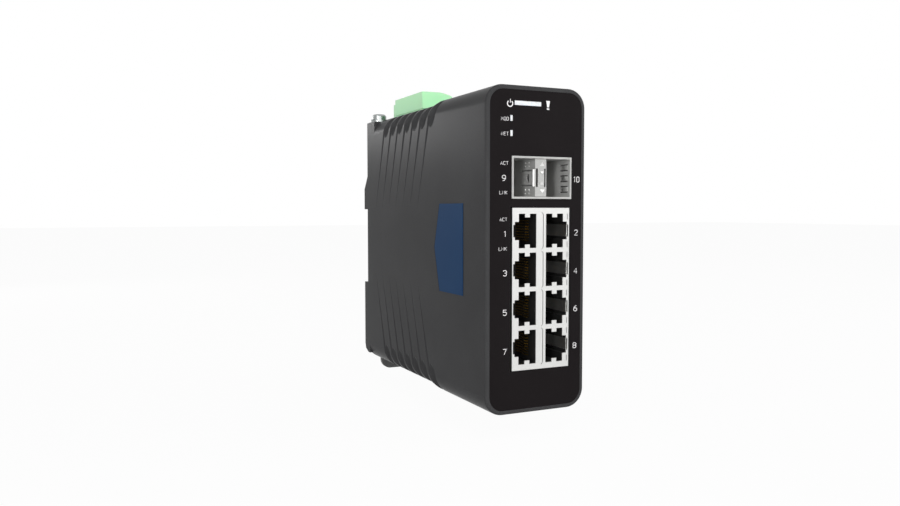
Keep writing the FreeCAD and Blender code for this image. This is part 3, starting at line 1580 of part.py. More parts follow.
def keeper_screws():
    shank_length = s.keeper_sheet + s.cover_thickness - s.board_screw_short
    screws = [
        pan_screw(f"keeper_screw_{side + 1}", "y", cover_back + s.keeper_sheet, keeper_screw_place(side),
                  s.keeper_screw_radius, s.keeper_screw_head, s.keeper_screw_shank, shank_length)
        for side in (-1, 1)
    ]
    node("latch_keeper_screws", gather("keeper_screw_set", screws))


# ---------------------------------------------------------------------------------------
# Build, check and write
# ---------------------------------------------------------------------------------------
def check_and_write():
    doc.recompute()
    for item in doc.Objects:
        faults = [state for state in item.State if state in ("Invalid", "Error")]
        if faults:
            raise RuntimeError(f"{item.Name} ({item.Label}): {faults}")
    os.makedirs("parts", exist_ok=True)
    for piece in nodes:
        shape = piece.Shape
        if shape.isNull() or not shape.isValid() or not shape.Solids:
            raise RuntimeError(f"{piece.Label}: no valid solid")
        shape.exportStep(f"parts/{piece.Label}.step")
        print(f"{piece.Label}: {len(shape.Solids)} solid(s), {shape.Volume:.1f} mm3")


housing()
front_label()
side_badge()
light_pipes()
indicator_leds()
jack_shield()
jack_insulator()
jack_contacts()
sfp_cage()
sfp_divider()
sfp_connectors()
main_board()
board_screws()
chip_under_boss()
board_components()
power_header()
power_pins()
power_plug()
plug_clamps()
plug_screws()
ground_screw()
rear_cover()
cover_screws()
rail_latch()
latch_spring()
latch_keeper()
keeper_screws()
check_and_write()
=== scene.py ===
"""Rail-mounted network switch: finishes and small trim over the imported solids, in metres.

The frame's origin is the middle of the rail seat, +X to the right seen from the front,
+Y to the rear and +Z up. The sections follow the switch as it is put together.
"""

import bpy
import numpy as np
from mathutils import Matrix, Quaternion, Vector


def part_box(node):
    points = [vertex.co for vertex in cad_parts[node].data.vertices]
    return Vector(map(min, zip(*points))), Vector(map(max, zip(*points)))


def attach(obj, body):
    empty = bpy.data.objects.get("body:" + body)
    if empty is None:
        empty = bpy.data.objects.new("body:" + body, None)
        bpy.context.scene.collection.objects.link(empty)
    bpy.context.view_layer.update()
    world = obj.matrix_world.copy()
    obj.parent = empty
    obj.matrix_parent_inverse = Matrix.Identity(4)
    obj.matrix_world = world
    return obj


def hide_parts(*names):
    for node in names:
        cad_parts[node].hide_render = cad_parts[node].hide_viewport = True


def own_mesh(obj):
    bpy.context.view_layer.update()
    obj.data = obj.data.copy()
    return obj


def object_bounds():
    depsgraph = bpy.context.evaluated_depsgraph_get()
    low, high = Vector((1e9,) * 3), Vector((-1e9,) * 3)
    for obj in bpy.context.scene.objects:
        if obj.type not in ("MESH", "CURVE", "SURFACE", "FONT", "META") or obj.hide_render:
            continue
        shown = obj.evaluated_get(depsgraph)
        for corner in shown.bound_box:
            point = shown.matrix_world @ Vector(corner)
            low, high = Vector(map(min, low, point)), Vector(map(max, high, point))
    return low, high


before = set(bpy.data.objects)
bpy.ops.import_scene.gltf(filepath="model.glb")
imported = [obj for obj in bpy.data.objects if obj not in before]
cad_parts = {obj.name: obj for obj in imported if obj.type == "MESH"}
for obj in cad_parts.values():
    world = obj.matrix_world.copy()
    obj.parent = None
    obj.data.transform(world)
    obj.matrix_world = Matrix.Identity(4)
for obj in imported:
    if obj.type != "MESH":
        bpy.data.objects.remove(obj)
solid_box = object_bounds()
MM = 0.001

# ---------------------------------------------------------------------------------------
# Studio: a pale floor a millimetre under the pull tab's lowest place, a white surround that
# the metal shows too, and soft lamps. The small lamp behind on the left gives that side its
# fall of light.
# ---------------------------------------------------------------------------------------


def linear(code):
    """An sRGB hex colour as linear red, green, blue and an alpha of one."""
    value = np.array([int(code[i:i + 2], 16) for i in (1, 3, 5)]) / 255
    low = value / 12.92
    high = ((value + 0.055) / 1.055) ** 2.4
    return (*np.where(value <= 0.04045, low, high).tolist(), 1.0)


def add(tree, kind, links=(), **settings):
    """A node of a kind. Settings name its properties or, as in_NAME, its sockets' values."""
    node = tree.nodes.new(kind)
    for name, value in settings.items():
        if name.startswith("in_"):
            node.inputs[name[3:].replace("_", " ")].default_value = value
        else:
            setattr(node, name, value)
    for socket, source in links:
        tree.links.new(source, node.inputs[socket])
    return node


def blank(name):
    """A material of a name with an empty node tree, and its output."""
    material = bpy.data.materials.new(name)
    material.use_nodes = True
    material.node_tree.nodes.clear()
    return material, material.node_tree, add(material.node_tree, "ShaderNodeOutputMaterial")


def mesh_piece(name, points, faces):
    """A mesh object at the origin from arrays of points in metres and of faces."""
    mesh = bpy.data.meshes.new(name)
    mesh.from_pydata(np.asarray(points).tolist(), [], np.asarray(faces).tolist())
    mesh.update()
    piece = bpy.data.objects.new(name, mesh)
    bpy.context.scene.collection.objects.link(piece)
    return piece


camera_data = bpy.data.cameras.new("camera")
camera_data.lens = 31.94
camera_data.sensor_width = 36.0
camera = bpy.data.objects.new("camera", camera_data)
bpy.context.scene.collection.objects.link(camera)
camera.location = (-0.151026, -0.369526, 0.017068)
yaw, pitch, roll = np.radians((25.302, -3.047, -0.028))
ahead = Vector((np.sin(yaw) * np.cos(pitch), np.cos(yaw) * np.cos(pitch), np.sin(pitch)))
camera.rotation_mode = "QUATERNION"
camera.rotation_quaternion = ahead.to_track_quat("-Z", "Y") @ Quaternion((0, 0, 1), roll)
bpy.context.scene.camera = camera
bpy.context.scene.view_settings.view_transform = "Standard"

world = bpy.data.worlds.new("white_surround")
bpy.context.scene.world = world
world.use_nodes = True
world.node_tree.nodes.clear()


def shown_white(tree):
    """A socket of one for camera, glossy and transmission rays, and of zero for diffuse ones."""
    path = add(tree, "ShaderNodeLightPath")
    direct = add(tree, "ShaderNodeMath", operation="MAXIMUM", links=[
        (0, path.outputs["Is Camera Ray"]), (1, path.outputs["Is Glossy Ray"]),
    ])
    shown = add(tree, "ShaderNodeMath", operation="MAXIMUM", links=[
        (0, direct.outputs[0]), (1, path.outputs["Is Transmission Ray"]),
    ])
    return shown.outputs[0]


# the light that diffuse rays find falls from the horizon up to a height on the unit sphere
FILL_AT_HORIZON, FILL_ABOVE, FILL_HEIGHT = 0.55, 0.12, 0.8
sky = world.node_tree
pale = add(sky, "ShaderNodeBackground", in_Color=linear("#ffffff"), in_Strength=1.0)
direction = add(sky, "ShaderNodeTexCoord")
height = add(sky, "ShaderNodeSeparateXYZ", [(0, direction.outputs["Generated"])])
dimmer = add(sky, "ShaderNodeMapRange", [("Value", height.outputs["Z"])],
             in_From_Max=FILL_HEIGHT, in_To_Min=FILL_AT_HORIZON, in_To_Max=FILL_ABOVE)
fill = add(sky, "ShaderNodeBackground", [("Strength", dimmer.outputs["Result"])],
           in_Color=linear("#ffffff"))
mix = add(sky, "ShaderNodeMixShader",
          [(0, shown_white(sky)), (1, fill.outputs[0]), (2, pale.outputs[0])])
add(sky, "ShaderNodeOutputWorld", [("Surface", mix.outputs[0])])

# the latch slides down this far in mm, and the floor reaches this far in metres
LATCH_TRAVEL = 4.0
FLOOR_REACH = 4.0
# this share of the floor's look is plain white, and the rest is paper that takes the shadow
WHITE_SHARE = 0.96
floor_level = solid_box[0][2] - (LATCH_TRAVEL + 1.0) * MM
floor = mesh_piece("floor", [
    (x * FLOOR_REACH, y * FLOOR_REACH, floor_level) for x, y in ((-1, -1), (1, -1), (1, 1), (-1, 1))
], [(0, 1, 2, 3)])
floor_paper, tree, out = blank("white_studio_paper")
paper = add(tree, "ShaderNodeBsdfDiffuse", in_Color=linear("#f4f4f4"))
glow = add(tree, "ShaderNodeEmission", in_Color=linear("#ffffff"), in_Strength=1.0)
share = add(tree, "ShaderNodeMath", [(0, shown_white(tree))], operation="MULTIPLY")
share.inputs[1].default_value = WHITE_SHARE
surface = add(tree, "ShaderNodeMixShader",
              [(0, share.outputs[0]), (1, paper.outputs[0]), (2, glow.outputs[0])])
tree.links.new(surface.outputs[0], out.inputs["Surface"])
floor.data.materials.append(floor_paper)


def lamp(name, place, aim, width, height, power):
    """A soft lamp at a place in metres, turned to its aim, with its two sides and its watts."""
    data = bpy.data.lights.new(name, "AREA")
    data.shape = "RECTANGLE"
    data.size, data.size_y = width, height
    data.energy = power
    item = bpy.data.objects.new(name, data)
    bpy.context.scene.collection.objects.link(item)
    item.location = place
    item.rotation_mode = "QUATERNION"
    item.rotation_quaternion = (Vector(aim) - Vector(place)).to_track_quat("-Z", "Y")


lamp("side_lamp", (-0.26, 0.62, 0.15), (0, -0.06, 0.03), 0.25, 0.08, 0.5)
lamp("edge_lamp", (-0.7, -0.75, 0.05), (0, -0.12, 0.0), 0.15, 0.5, 4.5)
lamp("rim_lamp", (-0.1, -0.7, 0.8), (0, -0.12, 0.05), 0.4, 0.4, 2.0)
lamp("front_lamp", (-0.2, -1.2, 0.25), (0, -0.1, 0.0), 0.8, 0.8, 5.0)
lamp("right_lamp", (0.8, -0.5, 0.3), (0, -0.1, 0.0), 0.7, 0.7, 3.0)

# ---------------------------------------------------------------------------------------
# Cast housing and rear cover: die-cast aluminium with a dark grey powder coat. The powder
# melts into a fine even orange peel, so the coat is dull with a broad soft sheen.
# ---------------------------------------------------------------------------------------


def dress(material, *names):
    """Give CAD nodes a material in place of the plain one that they came with."""
    for name in names:
        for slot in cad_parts[name].material_slots:
            slot.material = material


# clouds of colour this wide in mm lie over the grain of every finish
CLOUD = 25.0
# the product of the two noises mostly lies between these, so the colours run over them
DARK_END, LIGHT_END = 0.12, 0.42
# roughness varies by this either side of its own value
GLOSS_SPREAD = 0.06
# the relief is this share of the grain deep
RELIEF_SHARE = 0.2


def grained(name, colour, tint, grain, roughness, metallic=0.0, bump=0.1, **sockets):
    """A Principled surface whose colour, gloss and relief follow noise of a real grain size.

    Object coordinates in metres times 1 over the grain give one noise cell per grain. The
    colour runs between two hex values along the fine noise times the broad one, and the
    roughness follows the fine noise alone.
    """
    material, tree, out = blank(name)
    place = add(tree, "ShaderNodeTexCoord")
    fine = add(tree, "ShaderNodeTexNoise", [("Vector", place.outputs["Object"])],
               in_Scale=1 / (grain * MM), in_Detail=3.0, in_Roughness=0.6)
    broad = add(tree, "ShaderNodeTexNoise", [("Vector", place.outputs["Object"])],
                in_Scale=1 / (CLOUD * MM), in_Detail=2.0)
    blend = add(tree, "ShaderNodeMath", [(0, fine.outputs["Fac"]), (1, broad.outputs["Fac"])],
                operation="MULTIPLY")
    colours = add(tree, "ShaderNodeValToRGB", [("Fac", blend.outputs[0])])
    for stop, position, code in zip(colours.color_ramp.elements, (DARK_END, LIGHT_END), (colour, tint)):
        stop.position = position
        stop.color = linear(code)
    gloss = add(tree, "ShaderNodeMapRange", [("Value", fine.outputs["Fac"])],
                in_To_Min=roughness - GLOSS_SPREAD, in_To_Max=roughness + GLOSS_SPREAD)
    relief = add(tree, "ShaderNodeBump", [("Height", fine.outputs["Fac"])],
                 in_Strength=bump, in_Distance=grain * MM * RELIEF_SHARE)
    surface = add(tree, "ShaderNodeBsdfPrincipled",
                  [("Base Color", colours.outputs["Color"]), ("Roughness", gloss.outputs["Result"]),
                   ("Normal", relief.outputs["Normal"])], in_Metallic=metallic)
    for socket, value in sockets.items():
        surface.inputs[socket.replace("_", " ")].default_value = value
    tree.links.new(surface.outputs[0], out.inputs["Surface"])
    return material


# powder-coated die casting: 0.5 mm orange peel, satin. The surround is white all over, so the
# dark finishes have a low specular level, which keeps them as dark as they are
powder_coat = grained("powder_coated_die_cast_aluminium", "#3c3c3d", "#424243", 0.5, 0.3,
                      Specular_IOR_Level=0.02)
dress(powder_coat, "housing", "rear_cover")

# ---------------------------------------------------------------------------------------
# Front label: a screen-printed polyester overlay stuck in the casting's shallow recess. Its
# print is near black and smooth, with white signs and plain port numbers on it.
# ---------------------------------------------------------------------------------------
# polyester film over black ink: nearly flat, with a faint 0.25 mm matting
label_film = grained("black_screen_printed_polyester", "#171415", "#1b1819", 0.25, 0.5, bump=0.03,
                     Specular_IOR_Level=0.04)
dress(label_film, "front_label")

# each sign's strokes on a grid 4 wide and 6 high, with its foot at the left at zero
STROKES = {
    "0": [[(0, 1), (0, 5), (1, 6), (3, 6), (4, 5), (4, 1), (3, 0), (1, 0), (0, 1)]],
    "1": [[(1, 5), (2.4, 6), (2.4, 0)]],
    "2": [[(0, 5), (1, 6), (3, 6), (4, 5), (4, 4), (0, 0), (4, 0)]],
    "3": [[(0, 5.2), (1, 6), (3, 6), (4, 5), (4, 4), (3, 3.1), (1.6, 3.1)],
          [(3, 3.1), (4, 2.2), (4, 1), (3, 0), (1, 0), (0, 0.8)]],
    "4": [[(3.1, 0), (3.1, 6), (0, 1.8), (4, 1.8)]],
    "5": [[(4, 6), (0.3, 6), (0, 3.3), (1, 3.7), (3, 3.7), (4, 2.8), (4, 1), (3, 0), (1, 0),
           (0, 0.8)]],
    "6": [[(3.4, 6), (1.6, 5.6), (0, 3.4), (0, 1), (1, 0), (3, 0), (4, 1), (4, 2.6), (3, 3.5),
           (1, 3.5), (0, 2.6)]],
    "7": [[(0, 6), (4, 6), (1.4, 0)]],
    "8": [[(1, 3.1), (0, 4), (0, 5), (1, 6), (3, 6), (4, 5), (4, 4), (3, 3.1), (1, 3.1),
           (0, 2.2), (0, 1), (1, 0), (3, 0), (4, 1), (4, 2.2), (3, 3.1)]],
    "9": [[(0.6, 0), (2.4, 0.4), (4, 2.6), (4, 5), (3, 6), (1, 6), (0, 5), (0, 3.4), (1, 2.5),
           (3, 2.5), (4, 3.4)]],
    "A": [[(0, 0), (2, 6), (4, 0)], [(0.8, 2.2), (3.2, 2.2)]],
    "C": [[(4, 5), (3, 6), (1, 6), (0, 5), (0, 1), (1, 0), (3, 0), (4, 1)]],
    "D": [[(0, 0), (0, 6), (2.8, 6), (4, 4.8), (4, 1.2), (2.8, 0), (0, 0)]],
    "E": [[(4, 6), (0, 6), (0, 0), (4, 0)], [(0, 3.1), (3.2, 3.1)]],
    "K": [[(0, 0), (0, 6)], [(4, 6), (0, 2.6)], [(1.2, 3.6), (4, 0)]],
    "L": [[(0, 6), (0, 0), (4, 0)]],
    "M": [[(0, 0), (0, 6), (2, 2.6), (4, 6), (4, 0)]],
    "N": [[(0, 0), (0, 6), (4, 0), (4, 6)]],
    "O": [[(0, 1), (0, 5), (1, 6), (3, 6), (4, 5), (4, 1), (3, 0), (1, 0), (0, 1)]],
    "T": [[(0, 6), (4, 6)], [(2, 6), (2, 0)]],
}
label_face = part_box("front_label")[0][1] / MM
NUMBER_HEIGHT, NUMBER_STROKE = 1.9, 0.24
WORD_HEIGHT, WORD_STROKE = 1.15, 0.13
LETTER_GAP = 0.35
ink_strokes = []


def write(text, centre_x, centre_z, height, width, stroke):
    """Add a text's strokes, centred in mm, with the size of each sign and its stroke's width."""
    step = width + LETTER_GAP
    left = centre_x - (len(text) * step - LETTER_GAP) / 2
    for i, letter in enumerate(text):
        for path in STROKES[letter]:
            points = np.array(path, float) * (width / 4, height / 6)
            ink_strokes.append((points + (left + i * step, centre_z - height / 2), stroke))


# ink stands this proud in mm, and each of five paths in turn by a layer more, so that the
# strokes that cross don't share a face
INK, LAYER = 0.03, 0.002
# a mitre is divided by at least this, so that a sharp turn has no long spike
BLUNT = 0.7


def ribbons(strokes):
    """Closed flat strips along paths of points (right, up) in mm, each with its width or widths.

    At each point the two rails lie plus and minus half the width along the mitre, which is
    the sum of the neighbouring stretches' normals divided by its length along either. The
    depth runs from the ink's height down to zero. A path that ends where it began is joined
    to its start and has no ends.
    """
    points, faces, used = [], [], 0
    for order, (path, width) in enumerate(strokes):
        path = np.asarray(path, float)
        closed = np.allclose(path[0], path[-1])
        along = np.diff(path, axis=0)
        along /= np.linalg.norm(along, axis=1, keepdims=True)
        normal = np.column_stack((-along[:, 1], along[:, 0]))
        if closed:
            path = path[:-1]
            before, after = np.roll(normal, 1, axis=0), normal
        else:
            before, after = np.vstack((normal[:1], normal)), np.vstack((normal, normal[-1:]))
        mitre = before + after
        mitre /= np.maximum((mitre * after).sum(axis=1, keepdims=True), BLUNT)
        reach = mitre * np.broadcast_to(width, len(path))[:, None] / 2
        high = np.full(len(path), INK + LAYER * (order % 5))
        low = np.zeros(len(path))
        rails = [np.column_stack((path + side * reach, depth))
                 for side, depth in ((1, high), (-1, high), (-1, low), (1, low))]
        points.append(np.stack(rails, axis=1).reshape(-1, 3))
        station = np.arange(len(path) - (0 if closed else 1))[:, None] * 4
        following = (station + 4) % (4 * len(path))
        corner = np.arange(4)[None, :]
        turned = (corner + 1) % 4
        sides = (station + corner, station + turned, following + turned, following + corner)
        faces.append(np.stack(sides, axis=2).reshape(-1, 4) + used)
        if not closed:
            last = 4 * (len(path) - 1)
            faces.append(np.array([(0, 3, 2, 1), (last, last + 1, last + 2, last + 3)]) + used)
        used += 4 * len(path)
    return np.concatenate(points), np.concatenate(faces)


# port numbers beside the jacks and slots: their centres, and the width of each figure
for number, x, z, width in (
    ("1", -13.00, 8.77, 1.35), ("2", 16.91, 8.90, 1.35),
    ("3", -12.99, -5.14, 1.35), ("4", 16.82, -5.23, 1.35),
    ("5", -12.98, -19.20, 1.35), ("6", 16.87, -19.18, 1.35),
    ("7", -12.97, -33.23, 1.35), ("8", 16.64, -32.95, 1.35),
    ("9", -13.48, 28.46, 1.35), ("10", 16.88, 28.42, 1.1),
):
    write(number, x, z, NUMBER_HEIGHT, width, NUMBER_STROKE)
# words by the lamps: their left and right ends and their middle's height
for word, left, right, z in (
    ("ACT", -14.85, -11.75, 33.71), ("LNK", -15.2, -12.15, 23.37), ("ACT", -15.1, -12.2, 13.90),
    ("LNK", -15.45, -12.3, 3.50), ("MOD", -14.6, -11.7, 49.22), ("NET", -14.6, -11.75, 44.00),
):
    width = (right - left - 2 * LETTER_GAP) / len(word)
    write(word, (left + right) / 2, z, WORD_HEIGHT, width, WORD_STROKE)
# power sign: an open ring of 280 degrees, and a short upright bar through its gap
POWER_X, POWER_Z, POWER_RADIUS = -11.1, 54.62, 1.06
BAR_X, BAR_LOW, BAR_HIGH = -10.98, 54.9, 56.2
RING_STROKE, BAR_STROKE = 0.38, 0.26
turn = np.radians(np.linspace(130, 410, 29))
ring = np.column_stack((POWER_X + POWER_RADIUS * np.cos(turn), POWER_Z + POWER_RADIUS * np.sin(turn)))
ink_strokes.append((ring, RING_STROKE))
ink_strokes.append(([(BAR_X, BAR_LOW), (BAR_X, BAR_HIGH)], BAR_STROKE))
# exclamation mark: a bar that narrows downwards, and a dot that is narrow at both ends
MARK_X, MARK_LOW, MARK_HIGH, DOT_Z = 4.55, 54.05, 56.35, 53.45
ink_strokes.append(([(MARK_X, MARK_HIGH), (MARK_X, MARK_LOW)], (1.6, 0.76)))
dot = [(MARK_X + across, DOT_Z) for across in (-0.5, -0.25, 0.25, 0.5)]
ink_strokes.append((dot, (0.3, 0.62, 0.62, 0.3)))
ink, ink_faces = ribbons(ink_strokes)
ink = np.column_stack((ink[:, 0], label_face - ink[:, 2], ink[:, 1])) * MM
lettering = mesh_piece("label_lettering", ink, ink_faces)
# screen ink: an opaque white layer, slightly uneven in cover
white_ink = grained("white_screen_ink", "#dedcdd", "#e9e7e8", 0.3, 0.55, bump=0.05)
lettering.data.materials.append(white_ink)
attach(lettering, "chassis")

# ---------------------------------------------------------------------------------------
# Indicator windows: milky polycarbonate light pipes flush with the label, lit by small
# side-view diodes on the board.
# ---------------------------------------------------------------------------------------
# diffusing polycarbonate: white, smooth, light goes a little way in
milky_pipe = grained("milky_polycarbonate", "#eceaea", "#f3f2f2", 0.8, 0.28, bump=0.02,
                     Subsurface_Weight=0.2)
dress(milky_pipe, "status_light_pipe", "mod_light_pipe", "net_light_pipe")
# cast epoxy: warm white, satin
diode_body = grained("white_epoxy_diode", "#d9d6cf", "#e6e3dc", 0.4, 0.4)
dress(diode_body, "indicator_leds")

# ---------------------------------------------------------------------------------------
# Side badge: a five-sided polyester label in plain dark blue, its point to the rear. The
# maker's print is left off, so the film is bare.
# ---------------------------------------------------------------------------------------
# gravure-printed film: dark blue, a satin laminate over it
badge_film = grained("blue_laminated_polyester", "#16365a", "#1b3b5e", 0.3, 0.42, bump=0.03,
                     Specular_IOR_Level=0.03)
dress(badge_film, "side_badge")
# its point reaches this far to the rear of its corners, and its border is this wide, in mm
BADGE_POINT, BORDER = 4.8, 0.55
badge_low, badge_high = (np.array(corner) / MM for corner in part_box("side_badge"))
tip_z = (badge_low[2] + badge_high[2]) / 2
tip = -badge_high[1] + BORDER / 2
border, border_faces = ribbons([([
    (tip + BADGE_POINT, badge_high[2]), (tip, tip_z), (tip + BADGE_POINT, badge_low[2]),
], BORDER)])
border = np.column_stack((badge_low[0] - border[:, 2], -border[:, 0], border[:, 1])) * MM
badge_shade_border = mesh_piece("badge_shade_border", border, border_faces)
# painted shade: a dark strip on the film along its two slanted rear edges, where the wall of the shallow
# recess lies in shade
recess_shade_paint = grained("painted_recess_shade", "#10151c", "#151b24", 0.3, 0.45, bump=0.03,
                     Specular_IOR_Level=0.1)
badge_shade_border.data.materials.append(recess_shade_paint)
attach(badge_shade_border, "chassis")

# ---------------------------------------------------------------------------------------
# Jack block: a bright tin-plated steel shield folded over a black nylon insulator, with
# gold-plated spring wires in each mouth.
# ---------------------------------------------------------------------------------------
# matt tin plate on cold-rolled strip: pale, with a fine grain that blurs what it reflects
tin_plate = grained("matt_tin_plated_steel", "#cfcfcd", "#d8d8d6", 0.35, 0.42, metallic=1.0,
                    bump=0.06)
dress(tin_plate, "jack_shield")
# moulded nylon with short glass fibres: near black and dull
insulator = grained("black_glass_filled_nylon", "#0c0c0c", "#121212", 0.3, 0.6, bump=0.08)
dress(insulator, "jack_insulator", "sfp_connector_left", "sfp_connector_right")
# thin electroplated gold over drawn bronze: smooth, warm and bright
gold = grained("gold_plated_bronze", "#c9a14b", "#d8b25c", 0.3, 0.25, metallic=1.0)
dress(gold, "jack_contacts", "power_pins")

# ---------------------------------------------------------------------------------------
# Transceiver cage: folded nickel-silver strip, duller than the jack shield, with a divider
# between its two slots.
# ---------------------------------------------------------------------------------------
# rolled nickel silver: mid grey and dull. Its metallic and specular values are lower than a
# metal's, because the white surround turned a full metal white in front and left the slots
# dark behind
cage_metal = grained("rolled_nickel_silver", "#aaaaa8", "#b4b4b2", 0.4, 0.5, metallic=0.2,
                     bump=0.06, Specular_IOR_Level=0.2)
dress(cage_metal, "sfp_cage", "sfp_divider")

divider_low = np.array(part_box("sfp_divider")[0]) / MM
cage_high = np.array(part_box("sfp_cage")[1]) / MM
# the cage's sheet, and how far its flange stands out beyond its wall, in mm
SHEET, FLANGE = 0.35, 0.35


def curled_strip(across, ahead, z_low, z_high, thickness):
    """A sheet strip whose middle line runs through (across, ahead) and is upright in Z.

    The two faces lie plus and minus half the thickness along the line's normal, and the
    closed profile of both is carried from the low to the high level.
    """
    line = np.column_stack((across, ahead))
    along = np.gradient(line, axis=0)
    along /= np.linalg.norm(along, axis=1, keepdims=True)
    normal = np.column_stack((-along[:, 1], along[:, 0])) * thickness / 2
    profile = np.vstack((line + normal, (line - normal)[::-1]))
    count = len(profile)
    levels = [np.column_stack((profile, np.full(count, z))) for z in (z_low, z_high)]
    here = np.arange(count)
    after = (here + 1) % count
    sides = np.column_stack((here + count, after + count, after, here))
    rung = np.arange(count // 2 - 1)
    roof = np.column_stack((rung, count - 1 - rung, count - 2 - rung, rung + 1)) + count
    return np.vstack(levels), np.vstack((sides, roof[:, ::-1] - count, roof))


# the divider's front lip: a quarter round of the sheet, curled into the left slot, that
# ends in a short straight edge
LIP_RADIUS, LIP_EDGE, LIP_SHEET = 1.1, 0.2, 0.25
LIP_LOW, LIP_HIGH = 25.7, 31.8
sweep = np.radians(np.linspace(0, 90, 12))
lip_x = divider_low[0] + SHEET / 2 - LIP_RADIUS * (1 - np.cos(sweep))
lip_y = divider_low[1] + LIP_RADIUS - LIP_RADIUS * np.sin(sweep)
lip_x = np.append(lip_x, lip_x[-1] - LIP_EDGE)
lip_y = np.append(lip_y, lip_y[-1])
points, faces = curled_strip(lip_x, lip_y, LIP_LOW, LIP_HIGH, LIP_SHEET)
lip = mesh_piece("divider_lip", points * MM, faces)

# four pressed points on the divider's front: each a thin triangle whose third corner, the
# tip, is raised
tips = np.array([
    ((1.3, 33.05), (3.3, 33.05), (2.28, 34.3)), ((2.99, 31.05), (1.41, 31.05), (2.22, 30.2)),
    ((1.45, 26.35), (3.03, 26.35), (2.24, 27.5)), ((3.35, 24.6), (1.35, 24.6), (2.35, 23.4)),
])
# how far each of a point's corners stands out from the divider, in mm
LIFT = np.array((0.04, 0.04, 0.39))
under = np.insert(tips, 1, divider_low[1], axis=2)
over = np.insert(tips, 1, divider_low[1] - LIFT, axis=2)
corners = np.concatenate((under, over), axis=1).reshape(-1, 3)
wedge = np.array([
    (0, 2, 1), (3, 4, 5), (0, 1, 4), (0, 4, 3), (1, 2, 5), (1, 5, 4), (2, 0, 3), (2, 3, 5),
])
wedge_faces = (wedge[None] + 6 * np.arange(len(tips))[:, None, None]).reshape(-1, 3)
pressed_points = mesh_piece("divider_points", corners * MM, wedge_faces)

# eight round dimples on the divider's left wall: a dome on a flat base, whose height is the
# cosine of a quarter turn times its share of the radius
DIMPLE_RADIUS, DIMPLE_HEIGHT = 0.4, 0.28
SPOKES, RINGS = 12, 4
around, share = np.meshgrid(
    np.arange(SPOKES) * 2 * np.pi / SPOKES, np.arange(1, RINGS + 1) / RINGS, indexing="ij")
dome = np.stack((
    -DIMPLE_HEIGHT * np.cos(share * np.pi / 2),
    DIMPLE_RADIUS * share * np.cos(around), DIMPLE_RADIUS * share * np.sin(around),
), axis=2)
dome = np.vstack((dome.reshape(-1, 3), [(-DIMPLE_HEIGHT, 0, 0), (0, 0, 0)]))
spoke, step = np.meshgrid(np.arange(SPOKES), np.arange(RINGS - 1), indexing="ij")
here = (spoke * RINGS + step).ravel()
beside = ((spoke + 1) % SPOKES * RINGS + step).ravel()
first = np.arange(SPOKES) * RINGS
second = np.roll(first, -1)
pole = np.full(SPOKES, SPOKES * RINGS)
dome_faces = np.vstack((
    np.column_stack((here, beside, beside + 1)), np.column_stack((here, beside + 1, here + 1)),
    np.column_stack((pole, second, first)),
    np.column_stack((pole + 1, first + RINGS - 1, second + RINGS - 1)),
))
# the divider's front lies this far in mm behind the cage's front plane
DIVIDER_BACK = 0.2
front_plane = divider_low[1] - DIVIDER_BACK
centres = np.array([
    (divider_low[0], front_plane + y, z) for y in (4.45, 7.03) for z in (33.0, 34.4, 23.2, 24.5)
])
dimple_points = (dome[None] + centres[:, None]).reshape(-1, 3)
dimple_starts = len(dome) * np.arange(len(centres))[:, None, None]
dimple_faces = (dome_faces[None] + dimple_starts).reshape(-1, 3)
dimples = mesh_piece("divider_dimples", dimple_points * MM, dimple_faces)

# three bowed spring leaves on the right slot's far wall: the bow follows a half sine
LEAF_START, LEAF_LENGTH, LEAF_HALF = 0.8, 4.2, 0.78
LEAF_SHEET, LEAF_BOW = 0.16, 0.5
along = np.linspace(0, 1, 13)
leaf_y = front_plane + LEAF_START + LEAF_LENGTH * along
leaf_x = cage_high[0] - FLANGE - SHEET - LEAF_SHEET / 2 - LEAF_BOW * np.sin(along * np.pi)
leaf_points, leaf_faces = [], []
for i, level in enumerate((24.85, 28.8, 32.75)):
    points, faces = curled_strip(leaf_x, leaf_y, level - LEAF_HALF, level + LEAF_HALF, LEAF_SHEET)
    leaf_points.append(points)
    leaf_faces.append(faces + i * len(points))
leaves = mesh_piece("cage_spring_leaves", np.vstack(leaf_points) * MM, np.vstack(leaf_faces))
# painted highlight: the same alloy, painted paler and more metallic than the flat sheet around it, where
# these small formed pieces catch the light
highlight_metal = grained("nickel_silver_painted_highlight", "#dededc", "#e8e8e6", 0.4, 0.4,
                       metallic=0.9, bump=0.04)
# the lip, points, dimples and leaves take the painted highlight
for piece in (lip, pressed_points, dimples, leaves):
    piece.data.materials.append(highlight_metal)
    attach(piece, "chassis")

# ---------------------------------------------------------------------------------------
# Circuit board: green solder mask on glass laminate with black moulded packages, wound
# parts and two aluminium cans, behind the jacks.
# ---------------------------------------------------------------------------------------
# liquid mask over glass laminate: dark green, satin, slightly uneven
board_mask = grained("green_solder_mask", "#12492a", "#1a5a35", 0.6, 0.35, bump=0.08)
dress(board_mask, "main_board")
# transfer-moulded epoxy: near black, matt
package = grained("black_moulded_epoxy", "#17171a", "#1f1f22", 0.25, 0.55, bump=0.1)
dress(package, "switch_chip", "processor_chip", "memory_chip", "flash_chip", "port_transformers",
      "power_inductor", "power_transformer")
# filled silicone sheet: pale grey, quite matt
soft_pad = grained("grey_silicone_heat_pad", "#7d868d", "#8a9298", 0.5, 0.8)
dress(soft_pad, "heat_pad")
# deep-drawn can: bare and silvery, with blurred reflections
can_metal = grained("bare_drawn_aluminium", "#bfc0c2", "#cccdcf", 0.5, 0.35, metallic=1.0)
dress(can_metal, "capacitors")

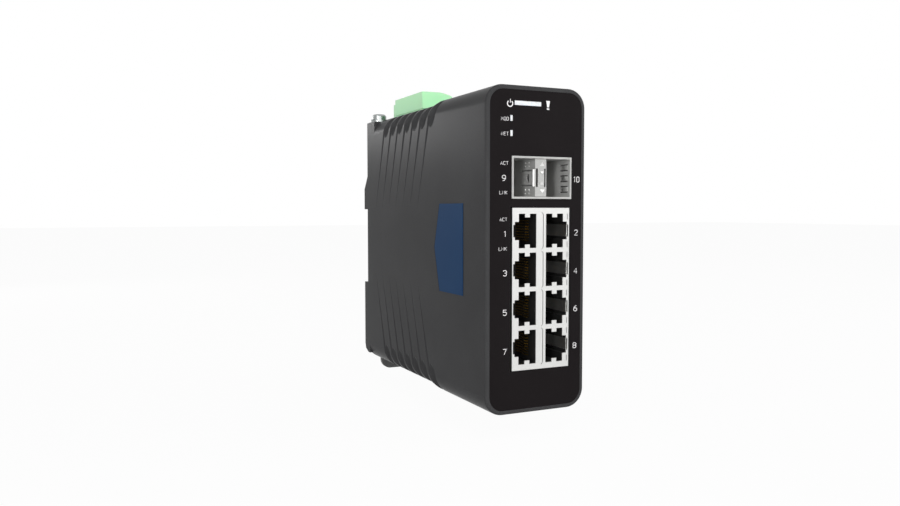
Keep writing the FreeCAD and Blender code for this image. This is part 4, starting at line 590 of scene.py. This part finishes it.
# ---------------------------------------------------------------------------------------
# Power connector: header and pull-off plug in pale green polyamide, moulded with a fine
# spark-eroded texture, with plated clamps and slotted screws.
# ---------------------------------------------------------------------------------------
# spark-eroded mould face: pale green, satin, light goes a little way in
green_moulding = grained("pale_green_moulded_polyamide", "#b4f2ba", "#bcf6c1", 0.25, 0.45,
                         bump=0.12, Subsurface_Weight=0.1, Specular_IOR_Level=0.1)
dress(green_moulding, "power_header", "power_plug")

# ---------------------------------------------------------------------------------------
# Fasteners, clamps and the latch's keeper: steel that is cold-headed or stamped, then
# zinc-plated in a barrel. The crystal's can looks much the same, so it shares the finish.
# ---------------------------------------------------------------------------------------
# barrel-plated zinc: bluish grey, slightly cloudy, bright where it faces the light
zinc_plate = grained("bright_zinc_plated_steel", "#8f9392", "#a3a7a6", 0.6, 0.32, metallic=1.0,
                     bump=0.06)
dress(zinc_plate, "board_screws", "rear_cover_screws", "latch_keeper_screws", "latch_keeper",
      "latch_spring", "ground_screw", "ground_flat_washer", "ground_star_washer", "plug_screws",
      "plug_clamps", "clock_crystal")

# ---------------------------------------------------------------------------------------
# Rail latch: a slider moulded in grey glass-filled nylon. It runs between the rear cover and
# its keeper, and its pull tab hangs below the housing.
# ---------------------------------------------------------------------------------------
# glass-filled nylon: mid grey, satin, faintly mottled
latch_nylon = grained("grey_glass_filled_nylon", "#474747", "#505050", 0.5, 0.5, bump=0.12)
dress(latch_nylon, "rail_latch")

# ---------------------------------------------------------------------------------------
# Latch spring: a coil of plated wire that stands on the cover's peg, in the imported one's
# place.
# ---------------------------------------------------------------------------------------
WIRE, TURNS = 0.4, 5
STATIONS, AROUND = TURNS * 24 + 1, 8


def coil_spring(low, high):
    """A helix of round wire that fills a box of two corners in mm, closed at both ends.

    Its centre line climbs evenly with the turn from half a wire above the box's floor. Each
    ring lies across it, along the radius and the tangent's cross product with the radius.
    """
    radius = (high[0] - low[0] - WIRE) / 2
    turn = np.linspace(0, 2 * np.pi * TURNS, STATIONS)[:, None]
    rise = (high[2] - low[2] - WIRE) / turn[-1]
    radial = np.hstack((np.cos(turn), np.sin(turn), np.zeros_like(turn)))
    tangent = np.hstack((-radius * np.sin(turn), radius * np.cos(turn), np.full_like(turn, rise)))
    tangent /= np.linalg.norm(tangent, axis=1, keepdims=True)
    across = np.cross(tangent, radial)
    foot = np.array(((low[0] + high[0]) / 2, (low[1] + high[1]) / 2, low[2] + WIRE / 2))
    middle = foot + radius * radial + np.hstack((turn * 0, turn * 0, turn * rise))
    angle = np.arange(AROUND)[None, :, None] * 2 * np.pi / AROUND
    ring = np.cos(angle) * radial[:, None] + np.sin(angle) * across[:, None]
    points = (middle[:, None] + ring * WIRE / 2).reshape(-1, 3)
    station = np.arange(STATIONS - 1)[:, None] * AROUND
    following = station + AROUND
    corner = np.arange(AROUND)[None, :]
    beside = (corner + 1) % AROUND
    sides = np.stack((station + corner, station + beside, following + beside, following + corner), axis=2)
    end = np.array([(0, 1, 2, 3), (0, 3, 4, 7), (4, 5, 6, 7)])
    last = (STATIONS - 1) * AROUND
    return points * MM, np.vstack((sides.reshape(-1, 4), end[:, ::-1], end + last))


spring_low, spring_high = (np.array(corner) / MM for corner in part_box("latch_spring"))
coil = mesh_piece("latch_coil", *coil_spring(spring_low, spring_high))
coil.data.materials.append(zinc_plate)
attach(coil, "chassis")
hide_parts("latch_spring")
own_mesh(coil)
